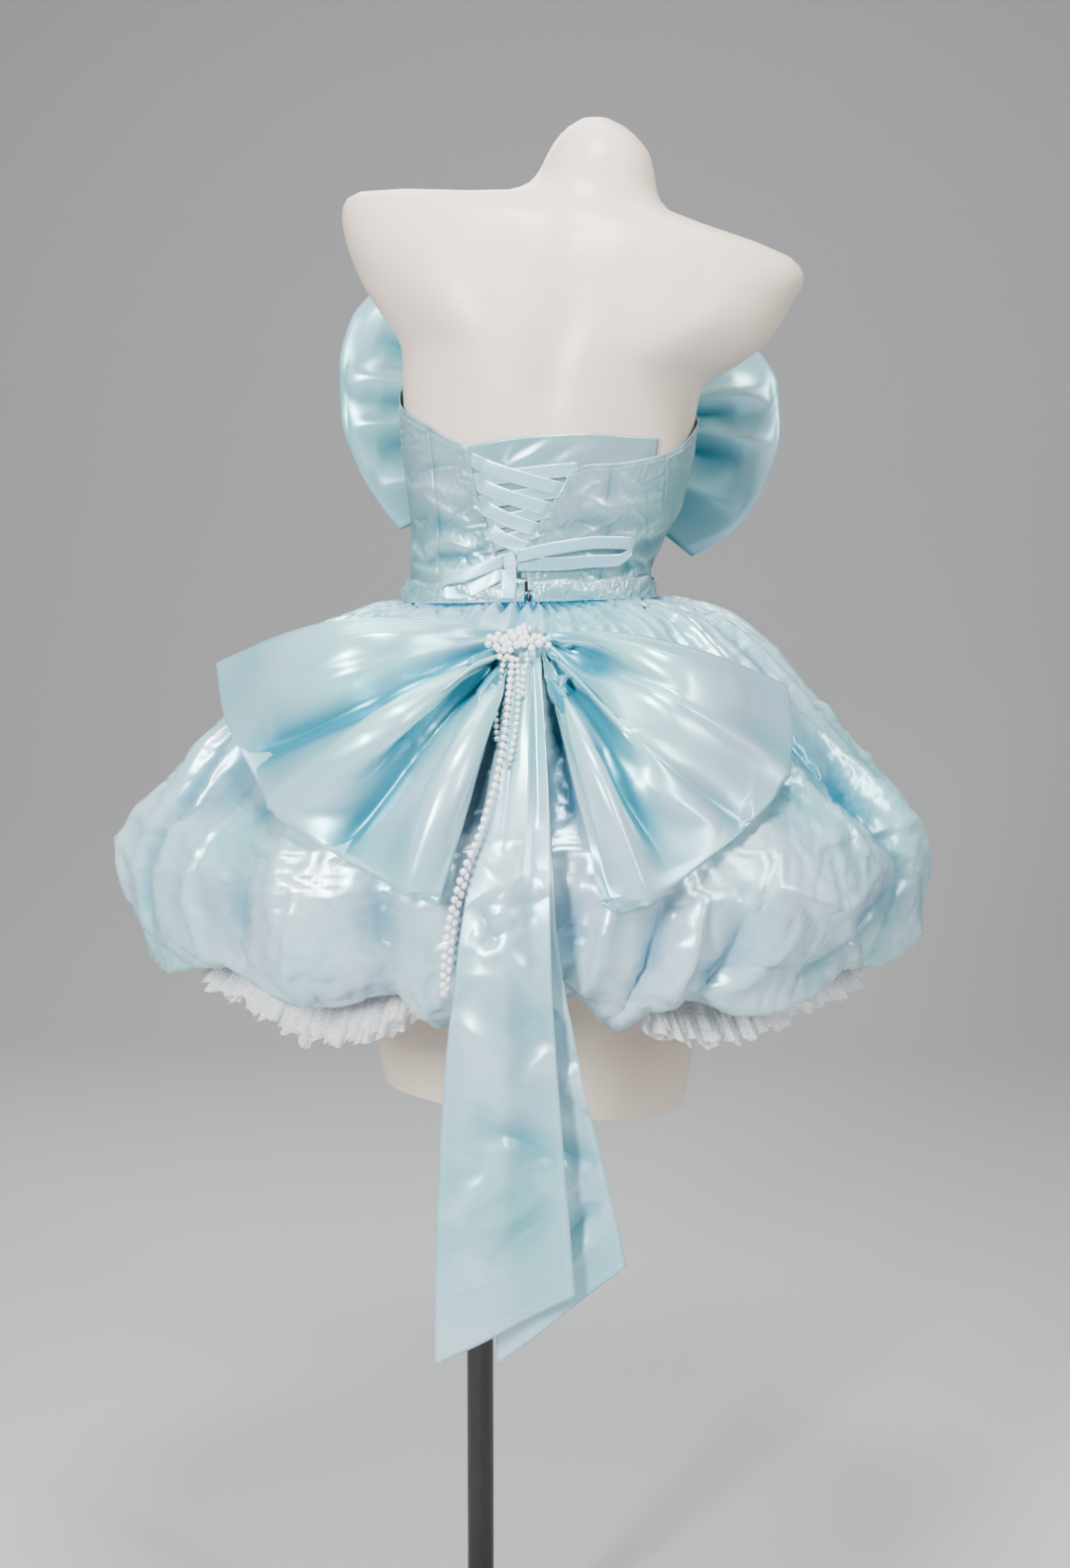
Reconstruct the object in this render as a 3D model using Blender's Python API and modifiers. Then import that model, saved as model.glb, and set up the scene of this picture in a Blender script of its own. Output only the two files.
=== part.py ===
"""Strapless bubble-hem homecoming dress on a limbless dress form with a pole stand.

Metres, +Z up. +X is the wearer's left and +Y is the back of the dress, where it laces.
The origin is the middle of the base's underside, below the pole.
"""
import math
from collections import namedtuple

import bmesh
import bpy
from mathutils import Vector

# ---------------------------------------------------------------- driving sizes
WAIST = 1.06                # height of the waist above the floor
POLE_SHIFT = 0.050          # the pole stands this far left of the figure's middle
REST = 0.0003               # gap between pieces that touch
SATIN = 0.0018              # wall of the satin pieces
NET = 0.0022                # wall of the petticoat's net
BOW_WALL = 0.0015           # wall of the bows' loops and tails
RIBBON = 0.0012             # wall of the lacing ribbon

BASE_RADIUS = 0.170
BASE_EDGE = 0.010
BOSS_RADIUS = 0.026
BOSS_HEIGHT = 0.045
POLE_RADIUS = 0.0125
SOCKET_CLEARANCE = 0.0003
SOCKET_FLOOR = 0.008
POLE_TOP = 0.660            # where the pole ends inside the form

LINING_LAYER = 0.0012     # middle of the modesty panel's wall, off the form
BODICE_LAYER = 0.0033       # middle of the bodice's wall, off the form
BAND_LAYER = 0.0057         # middle of the waistband's wall, off the form
LACE_LAYER = 0.0053         # middle of the lower lacing ribbons, off the form
LACE_STEP = 0.0017        # how much higher the crossing ribbons lie
LACE_WIDTH = 0.0115

BAND_HEIGHT = 0.020
WAIST_SEAM = -0.0130         # the waistband's lower edge, below the waist
SEAM_RISE = 0.0055          # how much higher it rides on the right side
BODICE_LIFT = 0.0100        # the bodice's lower edge above the band's lower edge
ZIP_SEAM = -1.875           # angle of the centre back seam
ZIP_HALF_OPENING = 0.0034
ZIP_SLIDER_WIDTH = 0.0040
ZIP_SLIDER_HEIGHT = 0.008
ZIP_SLIDER_TOP = -0.0045
ZIP_SLIDER_OUT = 0.0034     # middle of the slider's body, off the form
ZIP_SLIDER_DEPTH = 0.0026
SIDE_SEAM = 90 + ZIP_SEAM
GATHERS = 32
NET_WAVES = 36
SKIRT_DEPTH = 0.92          # how far the skirt spreads back and front, to its sides
PEARL = 0.006

BUST_RISE = 0.005
BUST_HEIGHT = 0.150
BUST_ANGLE = 148
BUST_SPREAD = 24
BUST_REACH = 0.040

# Angles are in degrees about the figure: 0 is the centre back, + turns to the wearer's left.
# Heights are above the waist.
Section = namedtuple("Section", "height lean half_width back front roll")
FIGURE = [
    Section(-0.465, -0.001, 0.1385, 0.098, 0.095, 4.5),
    Section(-0.400, 0.000, 0.1500, 0.108, 0.098, 4.0),
    Section(-0.300, 0.000, 0.1630, 0.117, 0.100, 3.5),
    Section(-0.200, 0.000, 0.1660, 0.118, 0.098, 3.0),
    Section(-0.120, 0.001, 0.1520, 0.107, 0.095, 2.4),
    Section(-0.060, 0.002, 0.1260, 0.090, 0.089, 1.8),
    Section(-0.020, 0.003, 0.1085, 0.079, 0.085, 1.5),
    Section(0.015, 0.002, 0.1045, 0.076, 0.086, 2.0),
    Section(0.045, -0.003, 0.1095, 0.078, 0.090, 3.4),
    Section(0.080, -0.009, 0.1195, 0.085, 0.099, 4.8),
    Section(0.125, -0.012, 0.1275, 0.093, 0.112, 5.8),
    Section(0.160, -0.014, 0.1305, 0.098, 0.118, 6.6),
    Section(0.193, -0.017, 0.1345, 0.101, 0.112, 7.4),
    Section(0.217, -0.0235, 0.158, 0.102, 0.101, 8.0),
    Section(0.241, -0.028, 0.180, 0.101, 0.090, 8.4),
    Section(0.272, -0.030, 0.196, 0.097, 0.077, 8.7),
    Section(0.300, -0.035, 0.205, 0.087, 0.066, 8.8),
    Section(0.314, -0.036, 0.199, 0.079, 0.060, 8.8),
    Section(0.3225, -0.038, 0.172, 0.072, 0.055, 8.6),
    Section(0.329, -0.041, 0.125, 0.065, 0.051, 8.0),
    Section(0.338, -0.047, 0.073, 0.058, 0.048, 6.5),
    Section(0.350, -0.053, 0.057, 0.053, 0.047, 4.0),
    Section(0.366, -0.057, 0.0500, 0.050, 0.046, 1.5),
    Section(0.380, -0.058, 0.0445, 0.045, 0.042, 0.5),
    Section(0.392, -0.057, 0.0360, 0.037, 0.035, 0.0),
    Section(0.402, -0.056, 0.0255, 0.026, 0.025, 0.0),
    Section(0.409, -0.055, 0.0130, 0.014, 0.013, 0.0),
]
CLOSE_ROWS = (-0.07, 0.13)  # between these heights the form has twice the rows

Edge = namedtuple("Edge", "angle height")
NECKLINE = [
    Edge(-180, 0.176), Edge(-150, 0.196), Edge(-128, 0.190), Edge(-100, 0.168),
    Edge(-82, 0.156), Edge(-70, 0.141), Edge(-55, 0.127), Edge(-31, 0.113),
    Edge(-18, 0.108), Edge(-11, 0.101), Edge(29, 0.115), Edge(38, 0.120),
    Edge(52, 0.131), Edge(78, 0.146), Edge(90, 0.158), Edge(104, 0.170),
    Edge(128, 0.190), Edge(150, 0.196),
]
MODESTY_TOP = [
    Edge(-50, 0.139), Edge(-22, 0.136), Edge(-3, 0.130), Edge(13, 0.124), Edge(25, 0.117),
    Edge(42, 0.108),
]

BODICE_ROWS = (0, 0.07, 0.17, 0.30, 0.46, 0.61, 0.75, 0.87, 1)

Gap = namedtuple("Gap", "height left right")
LACING_GAP = [
    Gap(-0.015, 7.5, -1.6), Gap(0.000, 10.0, -1.3), Gap(0.015, 13.0, 0.0),
    Gap(0.032, 15.9, 1.6), Gap(0.052, 20.5, -1.8), Gap(0.076, 25.7, -7.0),
    Gap(0.092, 27.2, -10.2), Gap(0.115, 29.3, -13.0),
]

# The skirt from the waist to its turned-under hem, in the order it runs.
Ring = namedtuple("Ring", "place spread drop follow gather fold")
SKIRT = [
    Ring(0, -0.0014, -0.0040, 1.0, 0.0002, 0.0),
    Ring(1, 0.0000, -0.0152, 1.0, 0.0003, 0.0),
    Ring(2, 0.0100, -0.0187, 1.0, 0.0010, 0.0),
    Ring(3, 0.0330, -0.0205, 0.9, 0.0036, 0.1),
    Ring(4, 0.0650, -0.0300, 0.7, 0.0060, 0.2),
    Ring(5, 0.0980, -0.0520, 0.5, 0.0065, 0.3),
    Ring(6, 0.1330, -0.0860, 0.3, 0.0055, 0.5),
    Ring(7, 0.1690, -0.1290, 0.1, 0.0040, 0.7),
    Ring(8, 0.2060, -0.1750, 0.0, 0.0026, 1.0),
    Ring(9, 0.2350, -0.2070, 0.0, 0.0018, 1.0),
    Ring(10, 0.2465, -0.2420, 0.0, 0.0014, 1.0),
    Ring(11, 0.2440, -0.2780, 0.0, 0.0010, 0.9),
    Ring(12, 0.2320, -0.3090, 0.0, 0.0006, 0.7),
    Ring(13, 0.2160, -0.3250, 0.0, 0.0, 0.5),
    Ring(14, 0.2010, -0.3300, 0.0, 0.0, 0.3),
    Ring(15, 0.1900, -0.3230, 0.0, 0.0, 0.1),
]
SKIRT_ROWS = (0, 1, 2.2, 3.5, 5.0, 6.7, 8.4, 10, 11.5, 12.9, 14, 15)

# How the hem is caught up and let down round the skirt: + is lower.
Catch = namedtuple("Catch", "angle fall swell")
HEM = [
    Catch(-165, -0.006, 0.002), Catch(-148, 0.004, 0.007), Catch(-130, -0.010, -0.006),
    Catch(-112, 0.004, 0.006), Catch(-92, 0.004, -0.006), Catch(-74, 0.000, 0.002),
    Catch(-60, -0.012, -0.004), Catch(-37, 0.012, 0.008), Catch(-24, -0.006, 0.002),
    Catch(-16, 0.024, -0.004), Catch(-8, -0.014, -0.012), Catch(3, -0.006, -0.006),
    Catch(11, 0.022, 0.000), Catch(17, -0.010, -0.006), Catch(29, 0.008, 0.008),
    Catch(45, -0.020, -0.004), Catch(58, -0.008, 0.006), Catch(74, 0.006, 0.004),
    Catch(92, 0.002, -0.004), Catch(110, 0.006, 0.008), Catch(130, -0.008, -0.006),
    Catch(150, 0.004, 0.006), Catch(178, -0.006, -0.004),
]

Tier = namedtuple("Tier", "place spread drop wave")
PETTICOAT = [
    Tier(0, -0.0050, -0.034, 0.0002), Tier(1, 0.036, -0.070, 0.0030),
    Tier(2, 0.082, -0.140, 0.0050), Tier(3, 0.122, -0.215, 0.0060),
    Tier(4, 0.150, -0.285, 0.0070), Tier(5, 0.160, -0.322, 0.0080),
    Tier(6, 0.176, -0.350, 0.0100),
]
NET_TUCK = 0.7              # how far the net draws in where its hem is lifted
NET_HEM = [
    Edge(-150, 0.006), Edge(-120, 0.012), Edge(-90, -0.008), Edge(-65, -0.012),
    Edge(-49, -0.006), Edge(-36, 0.016), Edge(-28, 0.010), Edge(-20, -0.004),
    Edge(-8, -0.030), Edge(8, -0.030), Edge(20, 0.006), Edge(28, 0.020), Edge(34, 0.022),
    Edge(43, 0.010), Edge(55, 0.002), Edge(80, -0.008), Edge(110, 0.008), Edge(150, 0.012),
]

# A bow loop is a fan of rays from the knot to its outer fold.
Ray = namedtuple("Ray", "place x y height arch hump swell crease")
BACK_LEFT_FAN = [
    Ray(0.00, 0.263, 0.122, -0.064, 0.026, 0.020, 0.020, 0.000),
    Ray(0.16, 0.254, 0.142, -0.103, 0.016, 0.018, 0.038, 0.008),
    Ray(0.33, 0.221, 0.196, -0.146, 0.004, 0.018, 0.030, -0.012),
    Ray(0.48, 0.190, 0.242, -0.178, 0.002, 0.022, 0.034, 0.012),
    Ray(0.62, 0.152, 0.274, -0.198, 0.000, 0.016, 0.030, -0.012),
    Ray(0.76, 0.110, 0.299, -0.216, 0.000, 0.010, 0.028, -0.008),
    Ray(0.90, 0.076, 0.314, -0.231, 0.000, 0.006, 0.030, 0.010),
    Ray(1.00, 0.054, 0.320, -0.238, 0.000, 0.004, 0.012, 0.000),
]
BACK_RIGHT_FAN = [
    Ray(0.00, -0.221, 0.128, -0.081, 0.016, 0.018, 0.020, 0.000),
    Ray(0.16, -0.224, 0.154, -0.114, 0.012, 0.020, 0.036, 0.006),
    Ray(0.33, -0.216, 0.194, -0.152, 0.006, 0.022, 0.030, -0.006),
    Ray(0.48, -0.186, 0.244, -0.182, 0.002, 0.022, 0.032, 0.006),
    Ray(0.64, -0.146, 0.281, -0.210, 0.000, 0.016, 0.026, -0.012),
    Ray(0.78, -0.113, 0.303, -0.232, 0.000, 0.010, 0.028, 0.010),
    Ray(0.91, -0.085, 0.314, -0.243, 0.000, 0.006, 0.024, 0.008),
    Ray(1.00, -0.070, 0.317, -0.236, 0.000, 0.004, 0.012, 0.000),
]
FRONT_LEFT_FAN = [
    Ray(0.00, 0.150, -0.112, 0.285, 0.012, 0.008, 0.020, 0.000),
    Ray(0.18, 0.179, -0.104, 0.250, 0.006, 0.010, 0.040, 0.008),
    Ray(0.38, 0.190, -0.100, 0.205, 0.002, 0.010, 0.034, -0.010),
    Ray(0.58, 0.189, -0.100, 0.160, 0.000, 0.010, 0.034, 0.010),
    Ray(0.78, 0.173, -0.102, 0.110, -0.002, 0.010, 0.036, -0.008),
    Ray(0.92, 0.151, -0.106, 0.073, -0.004, 0.010, 0.034, 0.006),
    Ray(1.00, 0.134, -0.112, 0.052, -0.006, 0.008, 0.018, 0.000),
]
FRONT_RIGHT_FAN = [
    Ray(0.00, -0.172, -0.112, 0.262, 0.012, 0.008, 0.020, 0.000),
    Ray(0.18, -0.204, -0.104, 0.222, 0.006, 0.010, 0.040, 0.008),
    Ray(0.38, -0.225, -0.100, 0.186, 0.002, 0.010, 0.034, -0.010),
    Ray(0.58, -0.228, -0.100, 0.143, 0.000, 0.010, 0.034, 0.010),
    Ray(0.78, -0.214, -0.102, 0.094, -0.002, 0.010, 0.036, -0.008),
    Ray(0.92, -0.184, -0.106, 0.050, -0.004, 0.010, 0.034, 0.006),
    Ray(1.00, -0.146, -0.112, 0.026, -0.006, 0.008, 0.018, 0.000),
]
Step = namedtuple("Step", "place out")
FAN_STEPS = [               # along a ray, out to the fold
    Step(0, 0.0), Step(1, 0.11), Step(2, 0.29), Step(3, 0.52), Step(4, 0.75), Step(5, 0.93),
    Step(6, 1.0),
]

Knot = namedtuple("Knot", "x y height half_width half_depth half_height roll tilt")
BACK_KNOT = Knot(-0.005, 0.1810, -0.0450, 0.0125, 0.0095, 0.0165, 4, 38)
LACE_KNOT = Knot(0.0155, 0.0851, 0.0215, 0.0056, 0.0034, 0.0068, 8, -4)
BROOCH = Knot(0.002, 0.1946, -0.0446, 0.0240, 0.0070, 0.0150, 0, 38)
FRONT_KNOT = Knot(-0.012, -0.1367, 0.1530, 0.0230, 0.0140, 0.0270, -6, 0)
KNOT_FULLNESS = 0.955       # of a knot's half width, where a loop enters its rounded side
PINCH = 0.0034              # between the two layers of a loop where it enters the knot
FOLD_WIDTH = 0.020          # how much wider they part at the outer fold

Fall = namedtuple("Fall", "place left left_drop right right_drop y wave")
FRONT_TAIL = [
    Fall(0, 0.0025, -0.0552, -0.0165, -0.0552, 0.1923, 0.000),
    Fall(1, 0.0080, -0.0860, -0.0200, -0.0860, 0.2220, 0.002),
    Fall(2, 0.0165, -0.1250, -0.0240, -0.1250, 0.2560, 0.003),
    Fall(3, 0.0230, -0.1650, -0.0275, -0.1650, 0.2845, 0.003),
    Fall(4, 0.0310, -0.2100, -0.0295, -0.2100, 0.3095, 0.003),
    Fall(5, 0.0385, -0.2550, -0.0305, -0.2550, 0.3200, 0.003),
    Fall(6, 0.0445, -0.3100, -0.0325, -0.3100, 0.3230, 0.004),
    Fall(7, 0.0520, -0.3800, -0.0365, -0.3750, 0.3230, 0.004),
    Fall(8, 0.0565, -0.4500, -0.0410, -0.4350, 0.3220, 0.004),
    Fall(9, 0.0595, -0.5250, -0.0455, -0.4900, 0.3210, 0.003),
    Fall(10, 0.0605, -0.6060, -0.0500, -0.5480, 0.3200, 0.002),
]
REAR_TAIL = [
    Fall(0, 0.0025, -0.0583, -0.0145, -0.0583, 0.1887, 0.000),
    Fall(1, 0.0040, -0.0920, -0.0190, -0.0920, 0.2150, -0.001),
    Fall(2, 0.0050, -0.1320, -0.0240, -0.1320, 0.2440, -0.001),
    Fall(3, 0.0050, -0.1720, -0.0280, -0.1720, 0.2710, -0.001),
    Fall(4, 0.0060, -0.2160, -0.0310, -0.2160, 0.2965, -0.001),
    Fall(5, 0.0080, -0.2620, -0.0345, -0.2620, 0.3060, 0.001),
    Fall(6, 0.0100, -0.3250, -0.0450, -0.3250, 0.3080, 0.003),
    Fall(7, 0.0120, -0.3950, -0.0575, -0.3900, 0.3075, 0.004),
    Fall(8, 0.0135, -0.4650, -0.0710, -0.4450, 0.3070, 0.004),
    Fall(9, 0.0150, -0.5350, -0.0820, -0.4900, 0.3060, 0.003),
    Fall(10, 0.0120, -0.6100, -0.0900, -0.5280, 0.3050, 0.002),
]

# Lacing ribbons, bow loops and ends: where the ribbon's middle runs over the back.
Stop = namedtuple("Stop", "angle height out")
Lay = namedtuple("Lay", "place angle height out")
BACK_RADIUS = 0.10          # about the radius of the back where the ribbons lie
LACE_LEVELS = [
    Gap(0.104, 26.4, -12.4), Gap(0.086, 25.6, -10.6), Gap(0.068, 23.0, -6.8),
    Gap(0.050, 19.6, -2.6), Gap(0.033, 16.4, 0.4),
]
LACE_INSET = 2.6            # how far onto each panel a ribbon reaches, in degrees
LACE_RIGHT_LOOP = [
    Stop(4.2, 0.0265, 0.0105), Stop(-15, 0.0365, 0.0120), Stop(-32, 0.0415, 0.0135),
    Stop(-43, 0.0405, 0.0140), Stop(-47.5, 0.0375, 0.0118), Stop(-44, 0.0345, 0.0093),
    Stop(-32, 0.0315, 0.0076), Stop(-15, 0.0270, 0.0071), Stop(4.2, 0.0205, 0.0071),
]
LACE_LEFT_LOOP = [
    Stop(10.2, 0.0215, 0.0118), Stop(20, 0.0130, 0.0128), Stop(29, 0.0060, 0.0138),
    Stop(35.5, 0.0020, 0.0138), Stop(38.6, -0.0010, 0.0114), Stop(35.5, -0.0035, 0.0092),
    Stop(27, 0.0010, 0.0078), Stop(19, 0.0080, 0.0076), Stop(10.2, 0.0165, 0.0076),
]
LACE_LEFT_END = [
    Stop(9.8, 0.0138, 0.0092), Stop(17, 0.0045, 0.0092), Stop(26, -0.0050, 0.0094),
]
LACE_RIGHT_END = [
    Stop(7.4, 0.0146, 0.0108), Stop(7.0, 0.0010, 0.0108), Stop(7.4, -0.0100, 0.0104),
]

Point = namedtuple("Point", "place x y height")
STRAND = [
    Point(0.00, 0.0058, 0.2046, -0.0561), Point(0.10, 0.0080, 0.2450, -0.0980),
    Point(0.20, 0.0120, 0.2795, -0.138), Point(0.30, 0.0230, 0.3060, -0.180),
    Point(0.38, 0.0400, 0.3250, -0.224), Point(0.45, 0.0490, 0.3300, -0.266),
    Point(0.505, 0.0515, 0.3300, -0.298), Point(0.535, 0.0515, 0.3240, -0.309),
    Point(0.565, 0.0500, 0.3150, -0.307), Point(0.60, 0.0480, 0.3105, -0.290),
    Point(0.68, 0.0420, 0.3095, -0.246), Point(0.77, 0.0290, 0.2985, -0.204),
    Point(0.85, 0.0180, 0.2710, -0.162), Point(0.93, 0.0125, 0.2420, -0.120),
    Point(1.00, 0.0103, 0.2190, -0.092),
]
STRAND_STEPS = 40

# ---------------------------------------------------------------- scene and materials
for old in list(bpy.data.objects):
    bpy.data.objects.remove(old, do_unlink=True)

dress = bpy.data.collections.new("homecoming_dress_on_form")
cutters = bpy.data.collections.new("cutters")
bpy.context.scene.collection.children.link(dress)
bpy.context.scene.collection.children.link(cutters)

figure_middle = bpy.data.objects.new("figure_middle", None)
figure_middle.location = (-POLE_SHIFT, 0, 0)
dress.objects.link(figure_middle)


def finish(name, colour, roughness, metallic=0.0):
    """A plain material with one colour."""
    material = bpy.data.materials.new(name)
    material.use_nodes = True
    shader = material.node_tree.nodes["Principled BSDF"]
    shader.inputs["Base Color"].default_value = (*colour, 1)
    shader.inputs["Roughness"].default_value = roughness
    shader.inputs["Metallic"].default_value = metallic
    return material


ice_satin = finish("ice_blue_satin", (0.52, 0.78, 0.84), 0.28)
ribbon_satin = finish("ribbon_satin", (0.45, 0.74, 0.84), 0.30)
white_net = finish("white_net", (0.90, 0.91, 0.93), 0.80)
form_shell = finish("painted_form", (0.86, 0.82, 0.77), 0.50)
black_metal = finish("black_painted_metal", (0.012, 0.012, 0.014), 0.42, 0.3)
pearl_white = finish("pearl", (0.93, 0.93, 0.90), 0.22)
zip_grey = finish("dark_zip", (0.05, 0.05, 0.055), 0.35, 0.8)


# ---------------------------------------------------------------- tables and walls
def between(rows, key):
    """The row at key, read smoothly between the rows of a table and never past them."""
    keys = [row[0] for row in rows]
    key = min(max(key, keys[0]), keys[-1])
    lower = max(i for i in range(len(rows) - 1) if keys[i] <= key or i == 0)
    span = keys[lower + 1] - keys[lower]
    t = (key - keys[lower]) / span

    def slope(i, column):
        if i == 0 or i == len(rows) - 1:
            first = min(i, len(rows) - 2)
            return (rows[first + 1][column] - rows[first][column]) / (keys[first + 1] - keys[first])
        before = (rows[i][column] - rows[i - 1][column]) / (keys[i] - keys[i - 1])
        after = (rows[i + 1][column] - rows[i][column]) / (keys[i + 1] - keys[i])
        return 0.0 if before * after <= 0 else 2 * before * after / (before + after)

    values = [key]
    for column in range(1, len(rows[0])):
        start, end = rows[lower][column], rows[lower + 1][column]
        values.append(
            (2 * t**3 - 3 * t**2 + 1) * start + (t**3 - 2 * t**2 + t) * span * slope(lower, column)
            + (3 * t**2 - 2 * t**3) * end + (t**3 - t**2) * span * slope(lower + 1, column))
    return type(rows[0])(*values)


def around(rows, angle):
    """The row at an angle, for a table that runs all the way round."""
    angle = (angle + 180) % 360 - 180
    kind = type(rows[0])
    before = kind(rows[-1][0] - 360, *rows[-1][1:])
    after = kind(rows[0][0] + 360, *rows[0][1:])
    following = kind(rows[1][0] + 360, *rows[1][1:])
    return between([before, *rows, after, following], angle)


def shaded(mesh):
    mesh.shade_smooth()
    mesh.set_sharp_from_angle(angle=math.radians(50))


def keep(name, mesh, material, collection=dress):
    """One named object in the figure's own frame."""
    mesh.materials.append(material)
    piece = bpy.data.objects.new(name, mesh)
    collection.objects.link(piece)
    piece.parent = figure_middle
    return piece


def wall(name, surface, columns, rows, thickness, material, closed=False):
    """A sheet of cloth as a closed wall: a grid laid on surface(u, v), half its thickness
    to each side. columns and rows are a count, or the places of the grid's lines."""
    across = [i / columns for i in range(columns + 1)] if isinstance(columns, int) else columns
    down = [i / rows for i in range(rows + 1)] if isinstance(rows, int) else rows
    sheet = bmesh.new()
    bmesh.ops.create_grid(sheet, x_segments=len(across) - 1, y_segments=len(down) - 1, size=0.5)
    for point in sheet.verts:
        column = round((point.co.x + 0.5) * (len(across) - 1))
        row = round((point.co.y + 0.5) * (len(down) - 1))
        point.co = (across[column], down[row], 0)
    if closed:
        first = {round(p.co.y, 6): p for p in sheet.verts if p.co.x < 1e-6}
        last = [p for p in sheet.verts if p.co.x > 1 - 1e-6]
        bmesh.ops.weld_verts(sheet, targetmap={p: first[round(p.co.y, 6)] for p in last})
    bmesh.ops.triangulate(sheet, faces=sheet.faces[:])    # so both faces bend on the same lines
    inner = list(sheet.verts)
    lifted = bmesh.ops.extrude_face_region(sheet, geom=sheet.faces[:])
    outer = [item for item in lifted["geom"] if isinstance(item, bmesh.types.BMVert)]
    small = 0.004
    for points, side in ((inner, -0.5), (outer, 0.5)):
        for point in points:
            u, v = point.co.x, point.co.y
            along = surface(u + small, v) - surface(u - small, v)
            down_it = surface(u, v + small) - surface(u, v - small)
            point.co = surface(u, v) + along.cross(down_it).normalized() * thickness * side
    bmesh.ops.recalc_face_normals(sheet, faces=sheet.faces)
    if sheet.calc_volume(signed=True) < 0:
        bmesh.ops.reverse_faces(sheet, faces=sheet.faces)
    mesh = bpy.data.meshes.new(name)
    sheet.to_mesh(mesh)
    sheet.free()
    shaded(mesh)
    return keep(name, mesh, material)


# ---------------------------------------------------------------- the figure
def figure(height, angle, out=0.0):
    """A point on the dress form, or out from it, at a height above the waist."""
    row = between(FIGURE, height)
    turn = math.radians(angle)
    depth = row.back if math.cos(turn) > 0 else row.front
    off_bust = (abs((angle + 180) % 360 - 180) - BUST_ANGLE) / BUST_SPREAD
    bust = BUST_RISE * math.exp(-off_bust**2 - ((height - BUST_HEIGHT) / BUST_REACH)**2)
    normal = Vector((math.sin(turn) / row.half_width, math.cos(turn) / depth)).normalized()
    side = row.half_width * math.sin(turn) + normal.x * (out + bust)
    back = depth * math.cos(turn) + normal.y * (out + bust)
    return Vector((row.lean + side, back, WAIST + height + side * math.tan(math.radians(row.roll))))


def make_dress_form():
    heights = []
    for row, following in zip(FIGURE, FIGURE[1:]):
        heights.append(row.height)
        if CLOSE_ROWS[0] < row.height and following.height < CLOSE_ROWS[1]:
            heights.append((row.height + following.height) / 2)
    heights.append(FIGURE[-1].height)
    columns = 32
    body = bmesh.new()
    bmesh.ops.create_grid(body, x_segments=columns, y_segments=len(heights) - 1, size=0.5)
    ends = {}
    for point in body.verts:
        column = round((point.co.x + 0.5) * columns)
        row = round((point.co.y + 0.5) * (len(heights) - 1))
        ends.setdefault((column % columns, row), []).append(point)
        point.co = figure(heights[row], 360 * column / columns)
    bmesh.ops.weld_verts(body, targetmap={pair[1]: pair[0] for pair in ends.values() if len(pair) > 1})
    rims = [edge for edge in body.edges if edge.is_boundary]
    bmesh.ops.holes_fill(body, edges=rims, sides=0)
    bmesh.ops.recalc_face_normals(body, faces=body.faces)
    mesh = bpy.data.meshes.new("dress_form")
    body.to_mesh(mesh)
    body.free()
    shaded(mesh)
    form = keep("dress_form", mesh, form_shell)

    bore_low, bore_high = POLE_TOP - 0.15, POLE_TOP + REST
    bpy.ops.mesh.primitive_cylinder_add(
        vertices=24, radius=POLE_RADIUS + SOCKET_CLEARANCE, depth=bore_high - bore_low,
        location=(0, 0, (bore_low + bore_high) / 2))
    cutter = bpy.context.object
    cutter.name = "pole_bore"
    for holder in list(cutter.users_collection):
        holder.objects.unlink(cutter)
    cutters.objects.link(cutter)
    cutter.hide_render = True
    cutter.display_type = "WIRE"
    bore = form.modifiers.new("pole_bore", "BOOLEAN")
    bore.operation = "DIFFERENCE"
    bore.object = cutter


def make_stand():
    hole = POLE_RADIUS + SOCKET_CLEARANCE
    profile = [
        (0, SOCKET_FLOOR), (hole, SOCKET_FLOOR), (hole, BOSS_HEIGHT), (BOSS_RADIUS - 0.002, BOSS_HEIGHT),
        (BOSS_RADIUS, BOSS_HEIGHT - 0.002), (BOSS_RADIUS + 0.003, BASE_EDGE + 0.008),
        (BASE_RADIUS - 0.006, BASE_EDGE + 0.002), (BASE_RADIUS, BASE_EDGE - 0.002),
        (BASE_RADIUS, 0), (0, 0),
    ]
    mesh = bpy.data.meshes.new("stand_base")
    mesh.from_pydata([(x, 0, z) for x, z in profile],
                     [(i, i + 1) for i in range(len(profile) - 1)], [])
    mesh.materials.append(black_metal)
    base = bpy.data.objects.new("stand_base", mesh)
    dress.objects.link(base)
    turn = base.modifiers.new("turned", "SCREW")
    turn.steps = turn.render_steps = 32
    turn.use_merge_vertices = True
    turn.merge_threshold = 0.00001

    low, high = SOCKET_FLOOR + REST, POLE_TOP
    bpy.ops.mesh.primitive_cylinder_add(
        vertices=24, radius=POLE_RADIUS, depth=high - low, location=(0, 0, (low + high) / 2))
    pole = bpy.context.object
    pole.name = "stand_pole"
    pole.data.name = "stand_pole"
    pole.data.materials.append(black_metal)
    shaded(pole.data)
    for holder in list(pole.users_collection):
        holder.objects.unlink(pole)
    dress.objects.link(pole)


# ---------------------------------------------------------------- bodice and waistband
def waist_seam(angle):
    """Height of the waistband's lower edge: it rides up a little on the right."""
    return WAIST_SEAM - SEAM_RISE * math.sin(math.radians(angle))


def degrees_across(width, radius):
    return math.degrees(width / radius)


SEAM_TURN = degrees_across(REST / 2, 0.11)


def bodice_panel(start, end):
    """A panel between two edges, each an angle or a function of the height."""
    def edge(side, height):
        return side(height) if callable(side) else side

    def surface(u, v):
        height = v * 0.12
        for _ in range(3):
            angle = edge(start, height) * (1 - u) + edge(end, height) * u
            low = waist_seam(angle) + BODICE_LIFT
            height = low + (around(NECKLINE, angle).height - low) * v
        return figure(height, angle, BODICE_LAYER)
    return surface


def gap_left(height):
    return between(LACING_GAP, height).left


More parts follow.
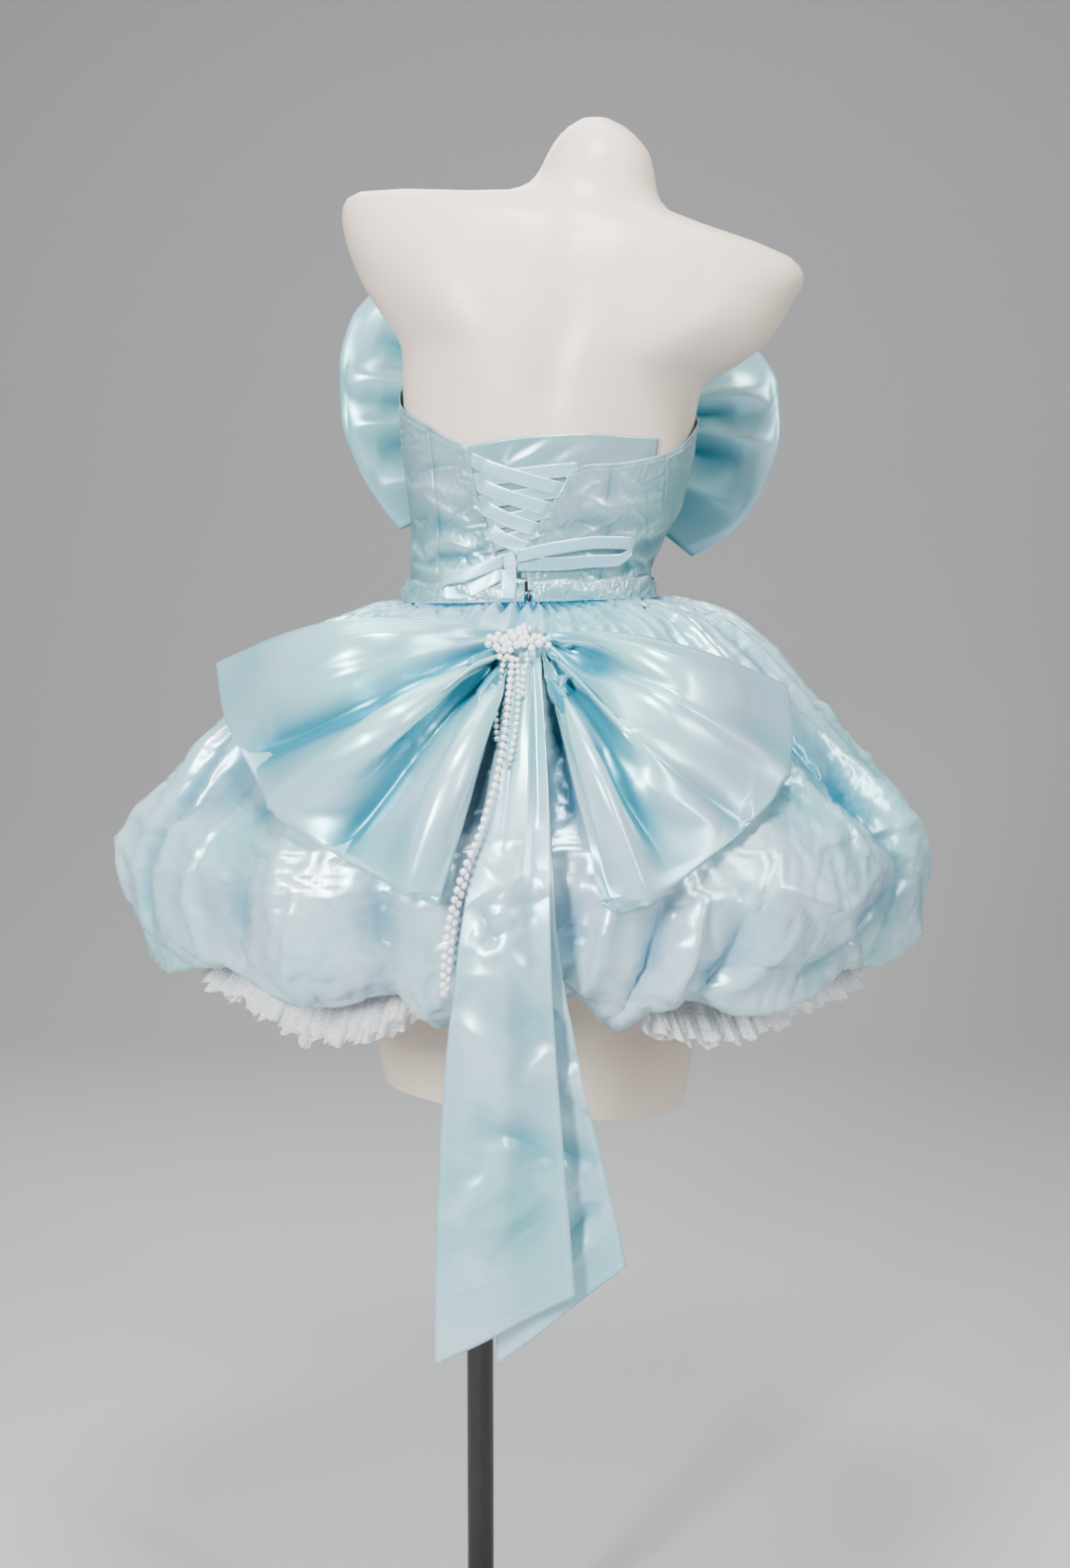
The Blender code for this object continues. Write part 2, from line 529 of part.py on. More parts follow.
def gap_right(height):
    return between(LACING_GAP, height).right


def modesty_surface(u, v):
    angle = -50 + 92 * u
    low, high = 0.007, between(MODESTY_TOP, angle).height
    return figure(low + (high - low) * v, angle, LINING_LAYER)


def waistband_surface(u, v):
    half_gap = degrees_across(ZIP_HALF_OPENING, BACK_RADIUS)
    angle = ZIP_SEAM + half_gap + (360 - 2 * half_gap) * u
    return figure(waist_seam(angle) + BAND_HEIGHT * v, angle, BAND_LAYER)


def make_bodice():
    rows = BODICE_ROWS
    turn = SEAM_TURN
    panels = {
        "bodice_back_left": (gap_left, 90 - turn, 12),
        "bodice_side_left": (90 + turn, 138 - turn, 6),
        "bodice_front_centre": (138 + turn, 222 - turn, 14),
        "bodice_side_right": (-138 + turn, -90 - turn, 6),
        "bodice_back_right": (-90 + turn, gap_right, 14),
    }
    for name, (start, end, columns) in panels.items():
        wall(name, bodice_panel(start, end), columns, rows, SATIN, ice_satin)
    wall("modesty_panel", modesty_surface, 14, BODICE_ROWS, 0.0010, ice_satin)
    wall("waistband", waistband_surface, 52, 1, SATIN, ice_satin)


# ---------------------------------------------------------------- skirt and petticoat
def waist_ring(angle):
    return figure(waist_seam(angle), angle, BODICE_LAYER)


def skirt(angle, place):
    """A point of the skirt at an angle, from the waist (0) to the turned-under hem (15)."""
    ring = between(SKIRT, place)
    catch = around(HEM, angle)
    low = max(0.0, (place - 6) / 9)
    turn = math.radians(angle)
    ripple = math.cos(math.radians(GATHERS * (angle - ZIP_SEAM)))
    ripple *= 1 + 0.35 * math.sin(3 * turn + 1) * math.sin(5 * turn)
    spread = ring.spread + ring.gather * ripple + catch.swell * ring.fold * 1.5
    middle = waist_ring(angle)
    rise = ring.follow * (middle.z - WAIST - WAIST_SEAM)
    fall = catch.fall * low**2
    return Vector((middle.x + spread * math.sin(turn), middle.y + spread * SKIRT_DEPTH * math.cos(turn),
                   WAIST + ring.drop + rise - fall))


def skirt_panel(start, end, start_opening=0.0, end_opening=0.0):
    def surface(u, v):
        place = v * 15
        radius = 0.11 + max(0.0, between(SKIRT, place).spread)
        parted = max(0.0, 1 - place / 4)
        low = start + degrees_across(REST / 2 + start_opening * parted, radius)
        high = end - degrees_across(REST / 2 + end_opening * parted, radius)
        return skirt(low + (high - low) * u, place)
    return surface


def make_skirt():
    rows = [place / 15 for place in SKIRT_ROWS]
    wall("skirt_back_left", skirt_panel(ZIP_SEAM, SIDE_SEAM, start_opening=ZIP_HALF_OPENING),
         24, rows, SATIN, ice_satin)
    wall("skirt_front", skirt_panel(SIDE_SEAM, 360 + ZIP_SEAM - 90), 48, rows, SATIN, ice_satin)
    wall("skirt_back_right", skirt_panel(ZIP_SEAM - 90, ZIP_SEAM, end_opening=ZIP_HALF_OPENING),
         24, rows, SATIN, ice_satin)


def petticoat(u, v):
    place = v * 6
    tier = between(PETTICOAT, place)
    angle = 360 * u
    turn = math.radians(angle)
    wave = tier.wave * math.cos(math.radians(NET_WAVES * angle))
    spread = tier.spread + wave * (1 + 0.3 * math.sin(4 * turn))
    hips = figure(-0.034, angle, 0.0075)
    fall = around(NET_HEM, angle).height * max(0.0, v - 0.6) / 0.4
    spread -= NET_TUCK * max(0.0, -fall)
    return Vector((hips.x + spread * math.sin(turn), hips.y + spread * SKIRT_DEPTH * math.cos(turn),
                   WAIST + tier.drop - fall + (hips.z - WAIST + 0.034) * (1 - v)))


def make_petticoat():
    rows = [0, 1 / 6, 2.2 / 6, 3.6 / 6, 5 / 6, 1]
    wall("petticoat", petticoat, 2 * NET_WAVES, rows, NET, white_net, closed=True)


# ---------------------------------------------------------------- bows
def fan(rays, knot, side):
    """A bow loop: a hairpin of cloth that opens from the knot into a fan.
    side is +1 for the back bow and -1 for the front bow."""
    toward = 1 if rays[0].x > 0 else -1

    def surface(u, v):
        ray = between(rays, u)
        out = between(FAN_STEPS, (1 - abs(2 * v - 1)) * FAN_STEPS[-1].place).out
        pinched = knot.half_height * 0.70 * (1 - 2 * u)
        tilt = math.radians(knot.tilt)
        start = Vector((knot.x + toward * (KNOT_FULLNESS * knot.half_width + 0.0008),
                        knot.y - pinched * math.sin(tilt),
                        WAIST + knot.height + pinched * math.cos(tilt)))
        end = Vector((ray.x, ray.y, WAIST + ray.height))
        middle = start.lerp(end, out)
        middle.z += ray.arch * math.sin(math.pi * out)
        bulge = math.sin(math.pi * out)
        face = 1 if v < 0.5 else -1
        parting = PINCH + FOLD_WIDTH * out + ray.swell * bulge**1.5
        crease = ray.crease * out**0.7 * (1 - out**3) * (1.1 if face > 0 else 0.3)
        middle.y += side * (0.5 * (parting - PINCH) + crease + ray.hump * bulge**2)
        opened = math.sqrt(1 - out**6)        # 1 along the layers, 0 at the fold
        along = (end - start).normalized()
        across = (Vector((0, side, 0)) - along * along.y * side).normalized()
        return middle + across * 0.5 * parting * face * opened
    return surface


def make_knot(name, knot, material):
    """The band round the middle of a bow: a soft barrel."""
    bpy.ops.mesh.primitive_cube_add(size=2, location=(0, 0, 0))
    piece = bpy.context.object
    piece.name = name
    mesh = piece.data
    mesh.name = name
    for point in mesh.vertices:
        point.co = (point.co.x * knot.half_width * 1.16, point.co.y * knot.half_depth * 1.16,
                    point.co.z * knot.half_height * 1.10)
    mesh.materials.append(material)
    shaded(mesh)
    for holder in list(piece.users_collection):
        holder.objects.unlink(piece)
    dress.objects.link(piece)
    piece.parent = figure_middle
    piece.location = (knot.x, knot.y, WAIST + knot.height)
    piece.rotation_euler = (math.radians(knot.tilt), math.radians(knot.roll), 0)
    soft = piece.modifiers.new("soft", "SUBSURF")
    soft.levels = soft.render_levels = 2


def tail(rows):
    def surface(u, v):
        fall = between(rows, v * 10)
        x = fall.left * (1 - u) + fall.right * u
        drop = fall.left_drop * (1 - u) + fall.right_drop * u
        y = fall.y + fall.wave * math.sin(2 * math.pi * (u * 1.1 - 0.1))
        return Vector((x, y, WAIST + drop))
    return surface


def make_bows():
    steps = 2 * FAN_STEPS[-1].place
    fans = {
        "back_bow_loop_left": (BACK_LEFT_FAN, BACK_KNOT, 1),
        "back_bow_loop_right": (BACK_RIGHT_FAN, BACK_KNOT, 1),
        "front_bow_loop_left": (FRONT_LEFT_FAN, FRONT_KNOT, -1),
        "front_bow_loop_right": (FRONT_RIGHT_FAN, FRONT_KNOT, -1),
    }
    for name, (table, knot, side) in fans.items():
        wall(name, fan(table, knot, side), 10, steps, BOW_WALL, ice_satin)
    make_knot("back_bow_knot", BACK_KNOT, ice_satin)
    make_knot("front_bow_knot", FRONT_KNOT, ice_satin)
    wall("back_bow_tail_front", tail(FRONT_TAIL), 5, 14, BOW_WALL, ice_satin)
    wall("back_bow_tail_rear", tail(REAR_TAIL), 5, 14, BOW_WALL, ice_satin)


# ---------------------------------------------------------------- lacing
def ribbon(stops, width, layer=0.0):
    """A ribbon laid flat on the back, its middle through the stops."""
    rows = [Lay(i / (len(stops) - 1), *stop) for i, stop in enumerate(stops)]

    def surface(u, v):
        here, before, after = between(rows, v), between(rows, v - 0.03), between(rows, v + 0.03)
        run = math.radians(after.angle - before.angle) * BACK_RADIUS
        climb = after.height - before.height
        length = math.hypot(run, climb)
        aside = width * (u - 0.5)
        angle = here.angle - math.degrees(aside * climb / length / BACK_RADIUS)
        return figure(here.height + aside * run / length, angle, here.out + layer)
    return surface


def hairpin(stops, width):
    """A ribbon loop: its width stays upright while it runs out and doubles back."""
    rows = [Lay(i / (len(stops) - 1), *stop) for i, stop in enumerate(stops)]

    def surface(u, v):
        here = between(rows, v)
        return figure(here.height + width * (u - 0.5), here.angle, here.out)
    return surface


def make_lacing():
    count = len(LACE_LEVELS) - 1
    for level in range(count):
        high, low = LACE_LEVELS[level], LACE_LEVELS[level + 1]
        rising = [Stop(high.left + LACE_INSET, high.height, LACE_LAYER),
                  Stop((high.left + low.right) / 2, (high.height + low.height) / 2, LACE_LAYER),
                  Stop(low.right - LACE_INSET, low.height, LACE_LAYER)]
        falling = [Stop(low.left + LACE_INSET, low.height, LACE_LAYER),
                   Stop((low.left + high.right) / 2, (high.height + low.height) / 2, LACE_LAYER),
                   Stop(high.right - LACE_INSET, high.height, LACE_LAYER)]
        wall(f"lace_{level + 1}_under", ribbon(rising, LACE_WIDTH), 1, 5, RIBBON, ribbon_satin)
        wall(f"lace_{level + 1}_over", ribbon(falling, LACE_WIDTH, LACE_STEP), 1, 5, RIBBON,
             ribbon_satin)
    wall("lace_bow_loop_right", hairpin(LACE_RIGHT_LOOP, 0.0125), 1, 16, RIBBON, ribbon_satin)
    wall("lace_bow_loop_left", hairpin(LACE_LEFT_LOOP, 0.0115), 1, 14, RIBBON, ribbon_satin)
    wall("lace_end_left", ribbon(LACE_LEFT_END, 0.0115), 1, 4, RIBBON, ribbon_satin)
    wall("lace_end_right", ribbon(LACE_RIGHT_END, 0.0115), 1, 4, RIBBON, ribbon_satin)


# ---------------------------------------------------------------- pearls and zip
def make_brooch():
    """The clump of pearls on the knot: a flattened mound."""
    bpy.ops.mesh.primitive_uv_sphere_add(segments=16, ring_count=8, radius=1)
    piece = bpy.context.object
    piece.name = piece.data.name = "pearl_brooch"
    for point in piece.data.vertices:
        lump = 1 + 0.12 * math.cos(4 * math.atan2(point.co.z, point.co.x))
        depth = point.co.y * BROOCH.half_depth * (1 if point.co.y > 0 else 0.25)
        point.co = (point.co.x * BROOCH.half_width * lump, depth, point.co.z * BROOCH.half_height)
    piece.data.materials.append(pearl_white)
    shaded(piece.data)
    for holder in list(piece.users_collection):
        holder.objects.unlink(piece)
    dress.objects.link(piece)
    piece.parent = figure_middle
    piece.location = (BROOCH.x, BROOCH.y, WAIST + BROOCH.height)
    piece.rotation_euler = (math.radians(BROOCH.tilt), math.radians(BROOCH.roll), 0)


def make_strand():
    """The string of pearls that hangs from the brooch and loops back up behind itself."""
    curve = bpy.data.curves.new("pearl_strand", "CURVE")
    curve.dimensions = "3D"
    curve.bevel_depth = PEARL / 2
    curve.bevel_resolution = 2
    curve.use_fill_caps = True
    line = curve.splines.new("POLY")
    line.points.add(STRAND_STEPS - 1)
    for i, point in enumerate(line.points):
        row = between(STRAND, i / (STRAND_STEPS - 1))
        point.co = (row.x, row.y, WAIST + row.height, 1)
    curve.materials.append(pearl_white)
    piece = bpy.data.objects.new("pearl_strand", curve)
    dress.objects.link(piece)
    piece.parent = figure_middle


def zip_tape(u, v):
    angle = ZIP_SEAM - 4 + 8 * u
    return figure(waist_seam(angle) - 0.006 + 0.024 * v, angle, LINING_LAYER)


def zip_slider(u, v):
    half = degrees_across(ZIP_SLIDER_WIDTH / 2, BACK_RADIUS)
    angle = ZIP_SEAM - half + 2 * half * u
    return figure(ZIP_SLIDER_TOP - ZIP_SLIDER_HEIGHT * v, angle, ZIP_SLIDER_OUT)


def make_zip():
    wall("back_zip", zip_tape, 2, 4, 0.0010, zip_grey)
    wall("zip_slider", zip_slider, 1, 2, ZIP_SLIDER_DEPTH, zip_grey)


# ---------------------------------------------------------------- run
make_dress_form()
make_stand()
make_bodice()
make_skirt()
make_petticoat()
make_bows()
make_lacing()
make_knot("lace_bow_knot", LACE_KNOT, ribbon_satin)
make_brooch()
make_strand()
make_zip()
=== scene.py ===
"""Looks of the strapless bubble-hem homecoming dress on its dress form.

Metres, in the frame of the solids: +Z up, +X the wearer's left, +Y the back of the dress.
"""
import math
from collections import namedtuple

import bmesh
import bpy
import numpy as np
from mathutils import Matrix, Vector


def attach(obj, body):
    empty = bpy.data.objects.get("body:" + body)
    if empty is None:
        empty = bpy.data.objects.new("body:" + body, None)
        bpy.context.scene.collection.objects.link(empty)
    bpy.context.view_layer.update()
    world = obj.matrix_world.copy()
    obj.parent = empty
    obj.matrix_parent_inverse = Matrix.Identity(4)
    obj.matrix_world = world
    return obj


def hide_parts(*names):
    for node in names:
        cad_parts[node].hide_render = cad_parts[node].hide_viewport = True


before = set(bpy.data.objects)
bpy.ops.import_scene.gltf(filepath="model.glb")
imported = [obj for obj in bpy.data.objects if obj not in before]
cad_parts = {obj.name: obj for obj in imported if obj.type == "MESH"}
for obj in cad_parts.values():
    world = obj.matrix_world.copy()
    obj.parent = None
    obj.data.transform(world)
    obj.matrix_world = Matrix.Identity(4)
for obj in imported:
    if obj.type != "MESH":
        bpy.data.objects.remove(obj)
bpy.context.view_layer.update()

scene = bpy.context.scene

# ---------------------------------------------------------------- camera, floor and light
# The dress is seen from a little to the right of its back and from just above its middle,
# in a plain studio: a pale floor that sweeps up behind it, a softbox on each side, a lamp
# overhead, one on its front and one that washes the sweep.
POLE_SHIFT = 0.050                  # the pole stands this far left of the figure's middle
WAIST = 1.06                        # height of the waist above the floor
AIM = Vector((-0.0018 - POLE_SHIFT, 0, 0.8795))
DISTANCE = 1.912
YAW, PITCH = math.radians(3.0), math.radians(6.3)
LENS = 48.0

looking = Vector((math.sin(YAW) * math.cos(PITCH), -math.cos(YAW) * math.cos(PITCH), -math.sin(PITCH)))
view = bpy.data.cameras.new("view")
view.sensor_fit = "VERTICAL"
view.sensor_height = 36
view.lens = LENS
viewer = bpy.data.objects.new("view", view)
viewer.location = AIM - looking * DISTANCE
viewer.rotation_euler = looking.to_track_quat("-Z", "Y").to_euler()
scene.collection.objects.link(viewer)
scene.camera = viewer

SWEEP_START, SWEEP_RADIUS, SWEEP_TOP, SWEEP_HALF_WIDTH = -2.6, 1.3, 5.0, 7.0
bend = [math.radians(5 * step) for step in range(19)]
profile = [(7.0, 0.0), *((SWEEP_START - SWEEP_RADIUS * math.sin(turn),
                          SWEEP_RADIUS * (1 - math.cos(turn))) for turn in bend),
           (SWEEP_START - SWEEP_RADIUS, SWEEP_TOP)]
floor = bpy.data.meshes.new("studio_floor")
floor.from_pydata([(side * SWEEP_HALF_WIDTH, back, up) for back, up in profile for side in (-1, 1)], [],
                  [(2 * i, 2 * i + 1, 2 * i + 3, 2 * i + 2) for i in range(len(profile) - 1)])
floor.shade_smooth()
studio_floor = bpy.data.objects.new("studio_floor", floor)
scene.collection.objects.link(studio_floor)
floor_paint = bpy.data.materials.new("pale_floor")
floor_paint.use_nodes = True
sockets = floor_paint.node_tree.nodes["Principled BSDF"].inputs
sockets["Base Color"].default_value = (0.44, 0.44, 0.45, 1)
sockets["Roughness"].default_value = 0.9
floor.materials.append(floor_paint)

world = bpy.data.worlds.new("studio")
world.use_nodes = True
sockets = world.node_tree.nodes["Background"].inputs
sockets["Color"].default_value = (0.86, 0.86, 0.87, 1)
sockets["Strength"].default_value = 0.08
scene.world = world

Lamp = namedtuple("Lamp", "name x y z width height power")
LAMPS = [
    Lamp("softbox_left", 1.15, 2.4, 1.75, 0.40, 1.0, 150),
    Lamp("softbox_right", -1.7, 1.3, 1.8, 0.20, 1.2, 38),
    Lamp("lamp_overhead", -0.1, 0.9, 2.8, 0.5, 0.35, 66),
    Lamp("lamp_front", 0.4, -2.0, 2.6, 1.2, 1.2, 40),
    Lamp("lamp_backdrop", 0.0, -1.2, 4.4, 3.0, 1.0, 100),
]
for lamp in LAMPS:
    light = bpy.data.lights.new(lamp.name, "AREA")
    light.shape = "RECTANGLE"
    light.size, light.size_y = lamp.width, lamp.height
    light.energy = lamp.power
    holder = bpy.data.objects.new(lamp.name, light)
    holder.location = (lamp.x, lamp.y, lamp.z)
    toward = Vector((-POLE_SHIFT, 0, 0.95)) - holder.location
    holder.rotation_euler = toward.to_track_quat("-Z", "Y").to_euler()
    scene.collection.objects.link(holder)

# ---------------------------------------------------------------- dress form
# A limbless fibreglass form cast in one piece, rubbed down and sprayed a warm off-white.
# Its sections run from the cut thighs to the domed top of the neck. Heights are above the waist
# and angles are in degrees: 0 is the centre back and + turns to the wearer's left.
Section = namedtuple("Section", "height lean half_width back front roll")
FIGURE = [
    Section(-0.465, -0.001, 0.1385, 0.098, 0.095, 4.5),
    Section(-0.400, 0.000, 0.1500, 0.108, 0.098, 4.0),
    Section(-0.300, 0.000, 0.1630, 0.117, 0.100, 3.5),
    Section(-0.200, 0.000, 0.1660, 0.118, 0.098, 3.0),
    Section(-0.120, 0.001, 0.1520, 0.107, 0.095, 2.4),
    Section(-0.060, 0.002, 0.1260, 0.090, 0.089, 1.8),
    Section(-0.020, 0.003, 0.1085, 0.079, 0.085, 1.5),
    Section(0.015, 0.002, 0.1045, 0.076, 0.086, 2.0),
    Section(0.045, -0.003, 0.1095, 0.078, 0.090, 3.4),
    Section(0.080, -0.009, 0.1195, 0.085, 0.099, 4.8),
    Section(0.125, -0.012, 0.1275, 0.093, 0.112, 5.8),
    Section(0.160, -0.014, 0.1305, 0.098, 0.118, 6.6),
    Section(0.193, -0.017, 0.1345, 0.101, 0.112, 7.4),
    Section(0.217, -0.0235, 0.158, 0.102, 0.101, 8.0),
    Section(0.241, -0.028, 0.180, 0.101, 0.090, 8.4),
    Section(0.272, -0.030, 0.196, 0.097, 0.077, 8.7),
    Section(0.300, -0.035, 0.205, 0.087, 0.066, 8.8),
    Section(0.314, -0.036, 0.199, 0.079, 0.060, 8.8),
    Section(0.3225, -0.038, 0.172, 0.072, 0.055, 8.6),
    Section(0.329, -0.041, 0.125, 0.065, 0.051, 8.0),
    Section(0.338, -0.047, 0.073, 0.058, 0.048, 6.5),
    Section(0.350, -0.053, 0.057, 0.053, 0.047, 4.0),
    Section(0.366, -0.057, 0.0500, 0.050, 0.046, 1.5),
    Section(0.380, -0.058, 0.0445, 0.045, 0.042, 0.5),
    Section(0.392, -0.057, 0.0360, 0.037, 0.035, 0.0),
    Section(0.402, -0.056, 0.0255, 0.026, 0.025, 0.0),
    Section(0.409, -0.055, 0.0130, 0.014, 0.013, 0.0),
]
BUST_RISE, BUST_HEIGHT, BUST_REACH = 0.005, 0.150, 0.040
BUST_ANGLE, BUST_SPREAD = 148, 24
FORM_COLUMNS, FORM_ROWS = 150, 160


def read(table, keys):
    """The table's columns at each key, read smoothly between its rows and never past them."""
    rows = np.array(table, float)
    places, values = rows[:, 0], rows[:, 1:]
    keys = np.clip(np.asarray(keys, float), places[0], places[-1])
    span = np.diff(places)
    rise = np.diff(values, axis=0) / span[:, None]
    product = rise[:-1] * rise[1:]
    total = np.where(product > 0, rise[:-1] + rise[1:], 1)
    inner = np.where(product > 0, 2 * product / total, 0)
    slope = np.vstack([rise[:1], inner, rise[-1:]])
    row = np.clip(np.searchsorted(places, keys, side="right") - 1, 0, len(span) - 1)
    t = ((keys - places[row]) / span[row])[..., None]
    width = span[row][..., None]
    found = ((2 * t**3 - 3 * t**2 + 1) * values[row] + (t**3 - 2 * t**2 + t) * width * slope[row]
             + (3 * t**2 - 2 * t**3) * values[row + 1] + (t**3 - t**2) * width * slope[row + 1])
    return type(table[0])(keys, *np.moveaxis(found, -1, 0))


def around(table, angles):
    """The table's columns at each angle, for a table that runs all the way round."""
    kind = type(table[0])
    looped = [kind(table[-1][0] - 360, *table[-1][1:]), *table,
              kind(table[0][0] + 360, *table[0][1:]), kind(table[1][0] + 360, *table[1][1:])]
    return read(looped, (np.asarray(angles, float) + 180) % 360 - 180)


def figure(height, angle, out=0.0):
    """Points on the dress form, or out from it, at heights above the waist."""
    height, angle, out = np.broadcast_arrays(height, angle, out)
    row = read(FIGURE, height)
    turn = np.radians(angle)
    depth = np.where(np.cos(turn) > 0, row.back, row.front)
    off_bust = (np.abs((angle + 180) % 360 - 180) - BUST_ANGLE) / BUST_SPREAD
    bust = BUST_RISE * np.exp(-off_bust**2 - ((height - BUST_HEIGHT) / BUST_REACH)**2)
    across, back = np.sin(turn) / row.half_width, np.cos(turn) / depth
    length = np.hypot(across, back)
    side = row.half_width * np.sin(turn) + across / length * (out + bust)
    rear = depth * np.cos(turn) + back / length * (out + bust)
    rise = WAIST + height + side * np.tan(np.radians(row.roll))
    return np.stack([row.lean + side, rear, rise], axis=-1)


def sheet_mesh(name, grid, closed=False):
    """A mesh of quads through a grid of the figure's points, rows by columns, with its own
    lengths in metres as its UV map. closed joins the last column to the first."""
    rows, columns = grid.shape[:2]
    points = grid.reshape(-1, 3) - (POLE_SHIFT, 0, 0)
    wrapped = columns if closed else columns - 1
    row, column = np.mgrid[0:rows - 1, 0:wrapped]
    beside = (column + 1) % columns
    faces = np.stack([row * columns + column, row * columns + beside,
                      (row + 1) * columns + beside, (row + 1) * columns + column], axis=-1).reshape(-1, 4)
    mesh = bpy.data.meshes.new(name)
    mesh.from_pydata(points.tolist(), [], faces.tolist())
    ring = np.concatenate([grid, grid[:, :1]], axis=1) if closed else grid
    across = np.linalg.norm(np.diff(ring, axis=1), axis=-1).mean(axis=0)
    down = np.linalg.norm(np.diff(grid, axis=0), axis=-1).mean(axis=1)
    u, v = np.concatenate([[0], across.cumsum()]), np.concatenate([[0], down.cumsum()])
    corners = np.stack([np.stack([u[column], v[row]], -1), np.stack([u[column + 1], v[row]], -1),
                        np.stack([u[column + 1], v[row + 1]], -1),
                        np.stack([u[column], v[row + 1]], -1)], axis=-2)
    mesh.uv_layers.new(name="cloth").data.foreach_set("uv", corners.reshape(-1))
    mesh.shade_smooth()
    return mesh


def close_up(mesh, weld=0.0):
    """Welds a mesh's points nearer than weld, fills its open ends and turns its faces outwards."""
    body = bmesh.new()
    body.from_mesh(mesh)
    if weld:
        bmesh.ops.remove_doubles(body, verts=body.verts, dist=weld)
    bmesh.ops.holes_fill(body, edges=[edge for edge in body.edges if edge.is_boundary], sides=0)
    bmesh.ops.recalc_face_normals(body, faces=body.faces)
    body.to_mesh(mesh)
    body.free()
    return mesh


def place(name, mesh, material, slot, *nodes):
    """One finished piece, which stands for the solids of those names."""
    mesh.materials.clear()
    mesh.materials.append(material)
    piece = bpy.data.objects.new(name, mesh)
    scene.collection.objects.link(piece)
    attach(piece, "root")
    if nodes:
        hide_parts(*nodes)
    return piece


class Wire:
    """A shader socket that takes part in sums and products written as plain expressions."""

    def __init__(self, tree, socket=None):
        self.tree, self.socket = tree, socket

    def node(self, kind, settings=None, inputs=None, output=0):
        """Adds a node: its settings are set first, then the values or links of its inputs."""
        made = self.tree.nodes.new("ShaderNode" + kind)
        for name, value in (settings or {}).items():
            if name == "stops":
                for i, (at, colour) in enumerate(value):
                    stop = made.color_ramp.elements[i] if i < 2 else made.color_ramp.elements.new(at)
                    stop.position, stop.color = at, colour
            else:
                setattr(made, name, value)
        for name, value in (inputs or {}).items():
            if isinstance(value, Wire):
                self.tree.links.new(value.socket, made.inputs[name])
            else:
                made.inputs[name].default_value = value
        return Wire(self.tree, made.outputs[output])

    def noise(self, scale, detail, roughness=0.5, kind="FBM", output=0):
        """Noise over these coordinates."""
        inputs = {"Vector": self, "Scale": scale, "Detail": detail, "Roughness": roughness}
        return self.node("TexNoise", {"noise_type": kind}, inputs, output)

    def value(self, operation, *others):
        """A sum, product or other operation on this and the other values."""
        return self.node("Math", {"operation": operation}, dict(enumerate((self, *others))))

    def __add__(self, other):
        return self.value("ADD", other)

    def __mul__(self, other):
        return self.value("MULTIPLY", other)

    def __sub__(self, other):
        return self.value("SUBTRACT", other)

    def __rsub__(self, other):
        return self * -1 + other

    def __pow__(self, other):
        return self.value("POWER", other)

    __radd__, __rmul__ = __add__, __mul__

    def clamped(self):
        return self.node("Clamp", inputs={"Value": self})

    def blend(self, low, high):
        """A colour between two colours: low where this is 0 and high where it is 1."""
        ends = {name: colour if isinstance(colour, Wire) else (*colour, 1)
                for name, colour in ((6, low), (7, high))}
        return self.node("Mix", {"data_type": "RGBA"}, {0: self, **ends}, output=2)

    def bump(self, height, normal=None):
        """A normal from this as a relief, so high in metres."""
        inputs = {"Height": self, "Distance": height}
        if normal:
            inputs["Normal"] = normal
        return self.node("Bump", inputs=inputs)

    def into(self, shader, socket):
        self.tree.links.new(self.socket, shader.inputs[socket])


def new_finish(name, **sockets):
    """A material, its shader with these sockets set, and a Wire to build on."""
    material = bpy.data.materials.new(name)
    material.use_nodes = True
    shader = material.node_tree.nodes["Principled BSDF"]
    for socket, value in sockets.items():
        shader.inputs[socket.replace("_", " ")].default_value = value
    return material, shader, Wire(material.node_tree)


form_paint, shader, wire = new_finish("sprayed_fibreglass", Specular_IOR_Level=0.45, Coat_Roughness=0.35,
                                      Coat_Weight=0.12)
spot = wire.node("TexCoord", output="Object")
cloudy = spot.noise(7.0, 3.0)
orange_peel = spot.noise(420.0, 2.0)
scuffs = spot.noise(46.0, 8.0, 0.7)
worn = ((scuffs - 0.60) * 9).clamped()
paint = cloudy.blend((0.68, 0.56, 0.46), (0.74, 0.63, 0.53))
(worn * 0.35).blend(paint, (0.54, 0.46, 0.39)).into(shader, "Base Color")
(cloudy * 0.16 + worn * 0.12 + 0.32).into(shader, "Roughness")
orange_peel.bump(0.00006).into(shader, "Normal")

low_end = FIGURE[0].height
rows = np.linspace(0, 1, FORM_ROWS)
heights = low_end + (FIGURE[-1].height - low_end) * (rows + 0.10 * np.sin(2 * math.pi * rows) / math.pi)
turns = (np.arange(FORM_COLUMNS) * 360 / FORM_COLUMNS + 180)[None, :] % 360 - 180
heights = heights[::-1, None]
above_dress = np.clip((heights - 0.115) / 0.05, 0, 1) * np.clip((0.335 - heights) / 0.03, 0, 1)
spine = -0.0075 * np.exp(-((turns + 2) / 8)**2)
blades = 0.0070 * np.exp(-((np.abs(turns + 2) - 34) / 15)**2 - ((heights - 0.225) / 0.045)**2)
hollows = -0.0040 * np.exp(-((np.abs(turns + 2) - 16) / 8)**2 - ((heights - 0.27) / 0.04)**2)
modelled = above_dress * (spine + blades + hollows)
skin = close_up(sheet_mesh("dress_form_shell", figure(heights, turns, modelled), closed=True))
skin.set_sharp_from_angle(angle=math.radians(50))
dress_form_shell = place("dress_form_shell", skin, form_paint, "form_shell", "dress_form")

